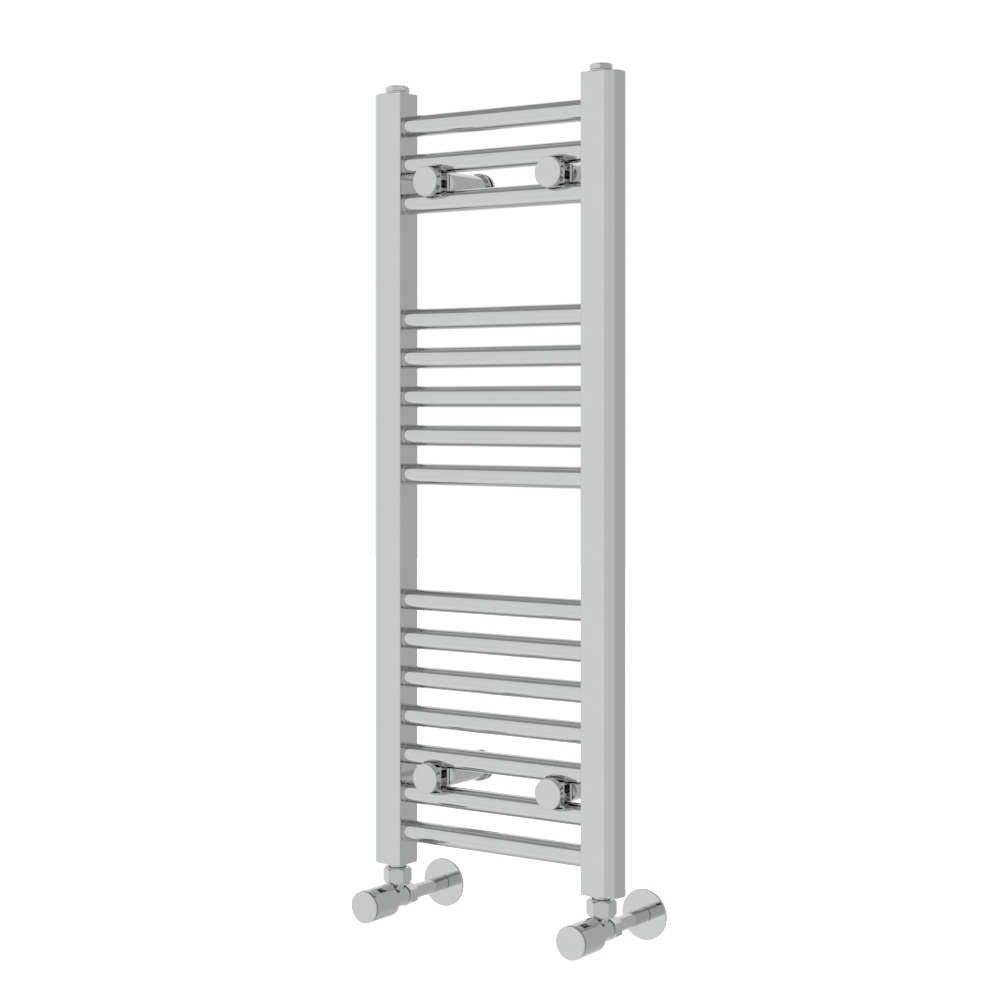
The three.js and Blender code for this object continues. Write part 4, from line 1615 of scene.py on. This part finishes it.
    def knob(self) -> bpy.types.Mesh:
        """Makes the handwheel or the lockshield cap, as its node's kind asks.

        Returns:
            The knob's mesh, with its hub.
        """
        part = "handwheel" if self.kind is ValveKind.WHEEL else "cap"
        rear, front = self.depths(part)
        width = Extent.of(self.node(part)).size.x
        groove_front = front - self.groove_from_end
        groove_rear, groove_floor = groove_front - self.groove, width - 2 * self.groove_depth
        inner, floor = width - 2 * self.knob_wall, front - self.knob_end
        outside = [
            Corner(inner, rear, 0.4),
            Corner(width, rear, 1.5),
            Corner(width, groove_rear, 0.2),
            Corner(groove_floor, groove_rear),
            Corner(groove_floor, groove_front),
            Corner(width, groove_front, 0.2),
            Corner(width, front, 0.9),
            Corner(0, front),
        ]
        if self.kind is ValveKind.LOCK:
            neck = self.headwork_neck() + 2 * GAP
            outer = neck + 2 * self.lock_hub_wall
            hub = [
                Corner(0, floor),
                Corner(neck, floor),
                Corner(neck, self.lock_hub_rear, 0.3),
                Corner(outer, self.lock_hub_rear, 0.3),
                Corner(outer, floor, 0.5),
                Corner(inner, floor, 1.0),
            ]
            return turned("lock cap", rounded(outside + hub))
        hub_rear, mouth = self.wheel_hub_rear, self.wheel_hub_mouth
        square = self.square / 2 + GAP
        socket_rear, socket_end = self.spindle_round_end + GAP, self.wheel_socket_end + GAP
        hub = [
            Ring(0, socket_end),
            Ring(square, socket_end, 4),
            Ring(square, socket_rear, 4),
            Ring(mouth / 2 + 0.4, socket_rear - 0.4),
            Ring(mouth / 2 + 0.4, hub_rear + 0.4),
            Ring(mouth / 2 + 0.8, hub_rear, edge=1.0),
        ]
        rest = rounded([
            Corner(mouth, hub_rear),
            Corner(self.wheel_hub, hub_rear, 0.4),
            Corner(self.wheel_hub, floor, 0.5),
            Corner(inner, floor, 1.0),
            Corner(inner, rear),
        ])[1:-1]
        return turned("handwheel", [*rounded(outside), *hub, *rest], 45)

    def supply_pipe(self) -> bpy.types.Mesh:
        """Makes the supply pipe from the wall into the valve, with the olive gripped on it."""
        rear, front = self.depths("pipe")
        bore = self.pipe - 2 * self.pipe_wall
        olive, olive_front = self.pipe + 2 * self.olive_rise, self.olive_front
        olive_rear = olive_front - self.olive_length
        rings = rounded([
            Corner(self.pipe, rear),
            Corner(self.pipe, olive_rear),
            Corner(olive, olive_rear + 0.5, 0.2),
            Corner(olive, olive_front - 0.5, 0.2),
            Corner(self.pipe, olive_front),
            Corner(self.pipe, front, 0.3),
            Corner(bore, front, 0.2),
            Corner(bore, rear),
        ])
        return turned("supply pipe", rings)

    def cover_plate(self) -> bpy.types.Mesh:
        """Makes the cover plate that hides the pipe's hole in the wall."""
        rear, front = self.depths("cover_plate")
        width = Extent.of(self.node("cover_plate")).size.x
        bore = self.pipe + 2 * GAP
        rings = rounded([
            Corner(bore, rear),
            Corner(width, rear),
            Corner(width, front, 0.6),
            Corner(bore, front, 0.25),
        ])
        return turned("cover plate", rings)

    def build(self) -> None:
        """Makes and shows all of the valve's pieces."""
        origin = self.origin()
        knob = "handwheel" if self.kind is ValveKind.WHEEL else "cap"
        upright = {"tail": self.tail(), "union_nut": self.union_nut()}
        level = {
            "body": (self.body(), FITTING_CHROME),
            "compression_nut": (self.compression_nut(), FITTING_CHROME),
            "headwork": (self.headwork(), BRASS),
            "spindle": (self.spindle(), BRASS),
            "jumper": (self.jumper(), BRASS),
            knob: (self.knob(), KNOB_CHROME),
            "pipe": (self.supply_pipe(), TUBE_CHROME),
            "cover_plate": (self.cover_plate(), TUBE_CHROME),
        }
        for part, mesh in upright.items():
            show(self.node(part), mesh, FITTING_CHROME, origin, Way.UP)
        for part, (mesh, finish) in level.items():
            show(self.node(part), mesh, finish, origin, Way.ROOM)


# ---- Studio -----------------------------------------------------------------------------------


@dataclass
class Studio:
    """A pale floor, a soft surrounding light and the camera. Lengths are in metres.

    The walls and the ground are rows of azimuths in degrees, 0 in front and 90 to the right, each
    with its shade. Ceiling and ground fade in between two angles above the level.
    """

    camera_azimuth: float = 34.68
    camera_place: tuple[float, float, float] = (1.191, -1.7975, 0.510)
    lens: float = 74.57
    shift: tuple[float, float] = (0.0004, -0.0926)
    plating: float = 0.6
    cast: tuple[float, float, float, float] = (0.985, 1.003, 0.995, 1.0)
    walls: tuple[tuple[float, float], ...] = (
        (-142, 0.571), (-40, 0.575), (-34, 0.604), (-18, 0.604),
        (-15, 0.487), (55, 0.485), (72, 0.356), (179, 0.356),
    )
    ground: tuple[tuple[float, float], ...] = (
        (-160, 0.33), (-130, 0.356), (-111, 0.413), (-90, 0.485),
        (-64, 0.604), (-50, 0.631), (20, 0.58), (90, 0.40),
    )
    ceiling: float = 0.235
    ceiling_rise: tuple[float, float] = (40.0, 44.0)
    ground_drop: tuple[float, float] = (-22.0, -44.0)
    floor_height: float = -0.2
    floor_size: float = 12.0

    def camera(self) -> None:
        """Places a level camera in front of the rail and to its right."""
        data = bpy.data.cameras.new("Camera")
        data.lens = self.lens
        data.sensor_width = 36.0
        data.shift_x, data.shift_y = self.shift
        data.clip_end = 50.0
        camera = bpy.data.objects.new("Camera", data)
        bpy.context.scene.collection.objects.link(camera)
        camera.location = self.camera_place
        camera.rotation_euler = (math.pi / 2, 0, math.radians(self.camera_azimuth))
        bpy.context.scene.camera = camera

    def floor(self) -> None:
        """Lays the floor, which reads as even white and takes no part in reflections."""
        half = self.floor_size / 2
        mesh = bpy.data.meshes.new("floor")
        corners = [(-half, -half), (half, -half), (half, half), (-half, half)]
        mesh.from_pydata([(x, y, self.floor_height) for x, y in corners], [], [(0, 1, 2, 3)])
        floor = bpy.data.objects.new("floor", mesh)
        bpy.context.scene.collection.objects.link(floor)
        material = bpy.data.materials.new("Pale floor")
        material.use_nodes = True
        shader = material.node_tree.nodes["Principled BSDF"]
        shader.inputs["Base Color"].default_value = grey(0.9)
        shader.inputs["Roughness"].default_value = 1.0
        shader.inputs["Specular IOR Level"].default_value = 0.0
        shader.inputs["Emission Color"].default_value = grey(1.0)
        shader.inputs["Emission Strength"].default_value = 0.9
        mesh.materials.append(material)
        floor.visible_glossy = False

    def light(self) -> None:
        """Surrounds the rail with soft light: pale walls, a darker ceiling and a bright floor.

        The shades are the ones that the plating shows, so they are brightened by as much as the
        plating takes away.
        """
        world = bpy.data.worlds.new("Studio")
        bpy.context.scene.world = world
        world.use_nodes = True
        world.node_tree.nodes.clear()
        tree = Tree(world.node_tree)
        place = tree.node("ShaderNodeTexCoord").outputs["Generated"]
        parts = tree.feed(tree.node("ShaderNodeSeparateXYZ"), Vector=place).outputs
        behind = tree.math("MULTIPLY", parts[1], -1.0)
        turn = tree.math("ARCTAN2", parts[0], behind)
        around = tree.math("ADD", tree.math("DIVIDE", turn, math.tau), 0.5)
        rise = tree.math("DEGREES", tree.math("ARCSINE", parts[2]))
        walls = self.band(tree, around, self.walls)
        ground = self.band(tree, around, self.ground)
        upper, lower = (
            tree.spread(rise, 0.0, 1.0, start=start, end=end, smooth=True)
            for start, end in (self.ceiling_rise, self.ground_drop)
        )
        shade = tree.mix(lower, tree.mix(upper, walls, grey(self.ceiling)), ground)
        tinted = tree.node("ShaderNodeMix", data_type="RGBA", blend_type="MULTIPLY")
        tree.feed(tinted, in_0=1.0, in_6=shade, in_7=self.cast)
        seen = tree.node("ShaderNodeLightPath").outputs["Is Camera Ray"]
        background = tree.node("ShaderNodeBackground")
        colour = tree.mix(seen, tinted.outputs[2], grey(self.plating))
        tree.feed(background, Color=colour, Strength=1 / self.plating)
        tree.feed(tree.node("ShaderNodeOutputWorld"), Surface=background.outputs[0])
        scene = bpy.context.scene
        scene.view_settings.view_transform = "Standard"
        scene.view_settings.look = "None"

    @staticmethod
    def band(tree: Tree, around: Socket, stops: Sequence[tuple[float, float]]) -> Socket:
        """Shades a band all round.

        Args:
            tree: Tree of the world's nodes.
            around: Share of a turn, 0.5 straight in front of the rail.
            stops: Azimuths in degrees, 0 in front and 90 to the right, each with its shade.

        Returns:
            The colour.
        """
        ramp = tree.node("ShaderNodeValToRGB")
        elements = ramp.color_ramp.elements
        for i, (azimuth, shade) in enumerate(stops):
            element = elements[i] if i < 2 else elements.new(1.0)
            element.position = azimuth / 360 + 0.5
            element.color = grey(shade)
        return tree.feed(ramp, in_0=around).outputs[0]


def main() -> None:
    """Builds the rail in order, then the studio round it."""
    logging.basicConfig(level=logging.INFO, format="%(message)s")
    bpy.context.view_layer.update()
    studio = Studio()
    studio.camera()
    studio.light()
    studio.floor()

    bars = Bars()
    for side in Side:
        Upright(side, bars.heights()).build()
    bars.build(Extent.of("upright_right").low.x)
    Plugs().build(Extent.of("upright_right").high.z)
    brackets = [Bracket(f"{row}_{side.word}") for row in ("top", "bottom") for side in Side]
    shared = brackets[0].meshes(Extent.of("bar_02"), Extent.of("bar_03"))
    for bracket in brackets:
        bracket.build(shared)
    for kind in ValveKind:
        Valve(kind).build()


if __name__ == "__main__":
    main()
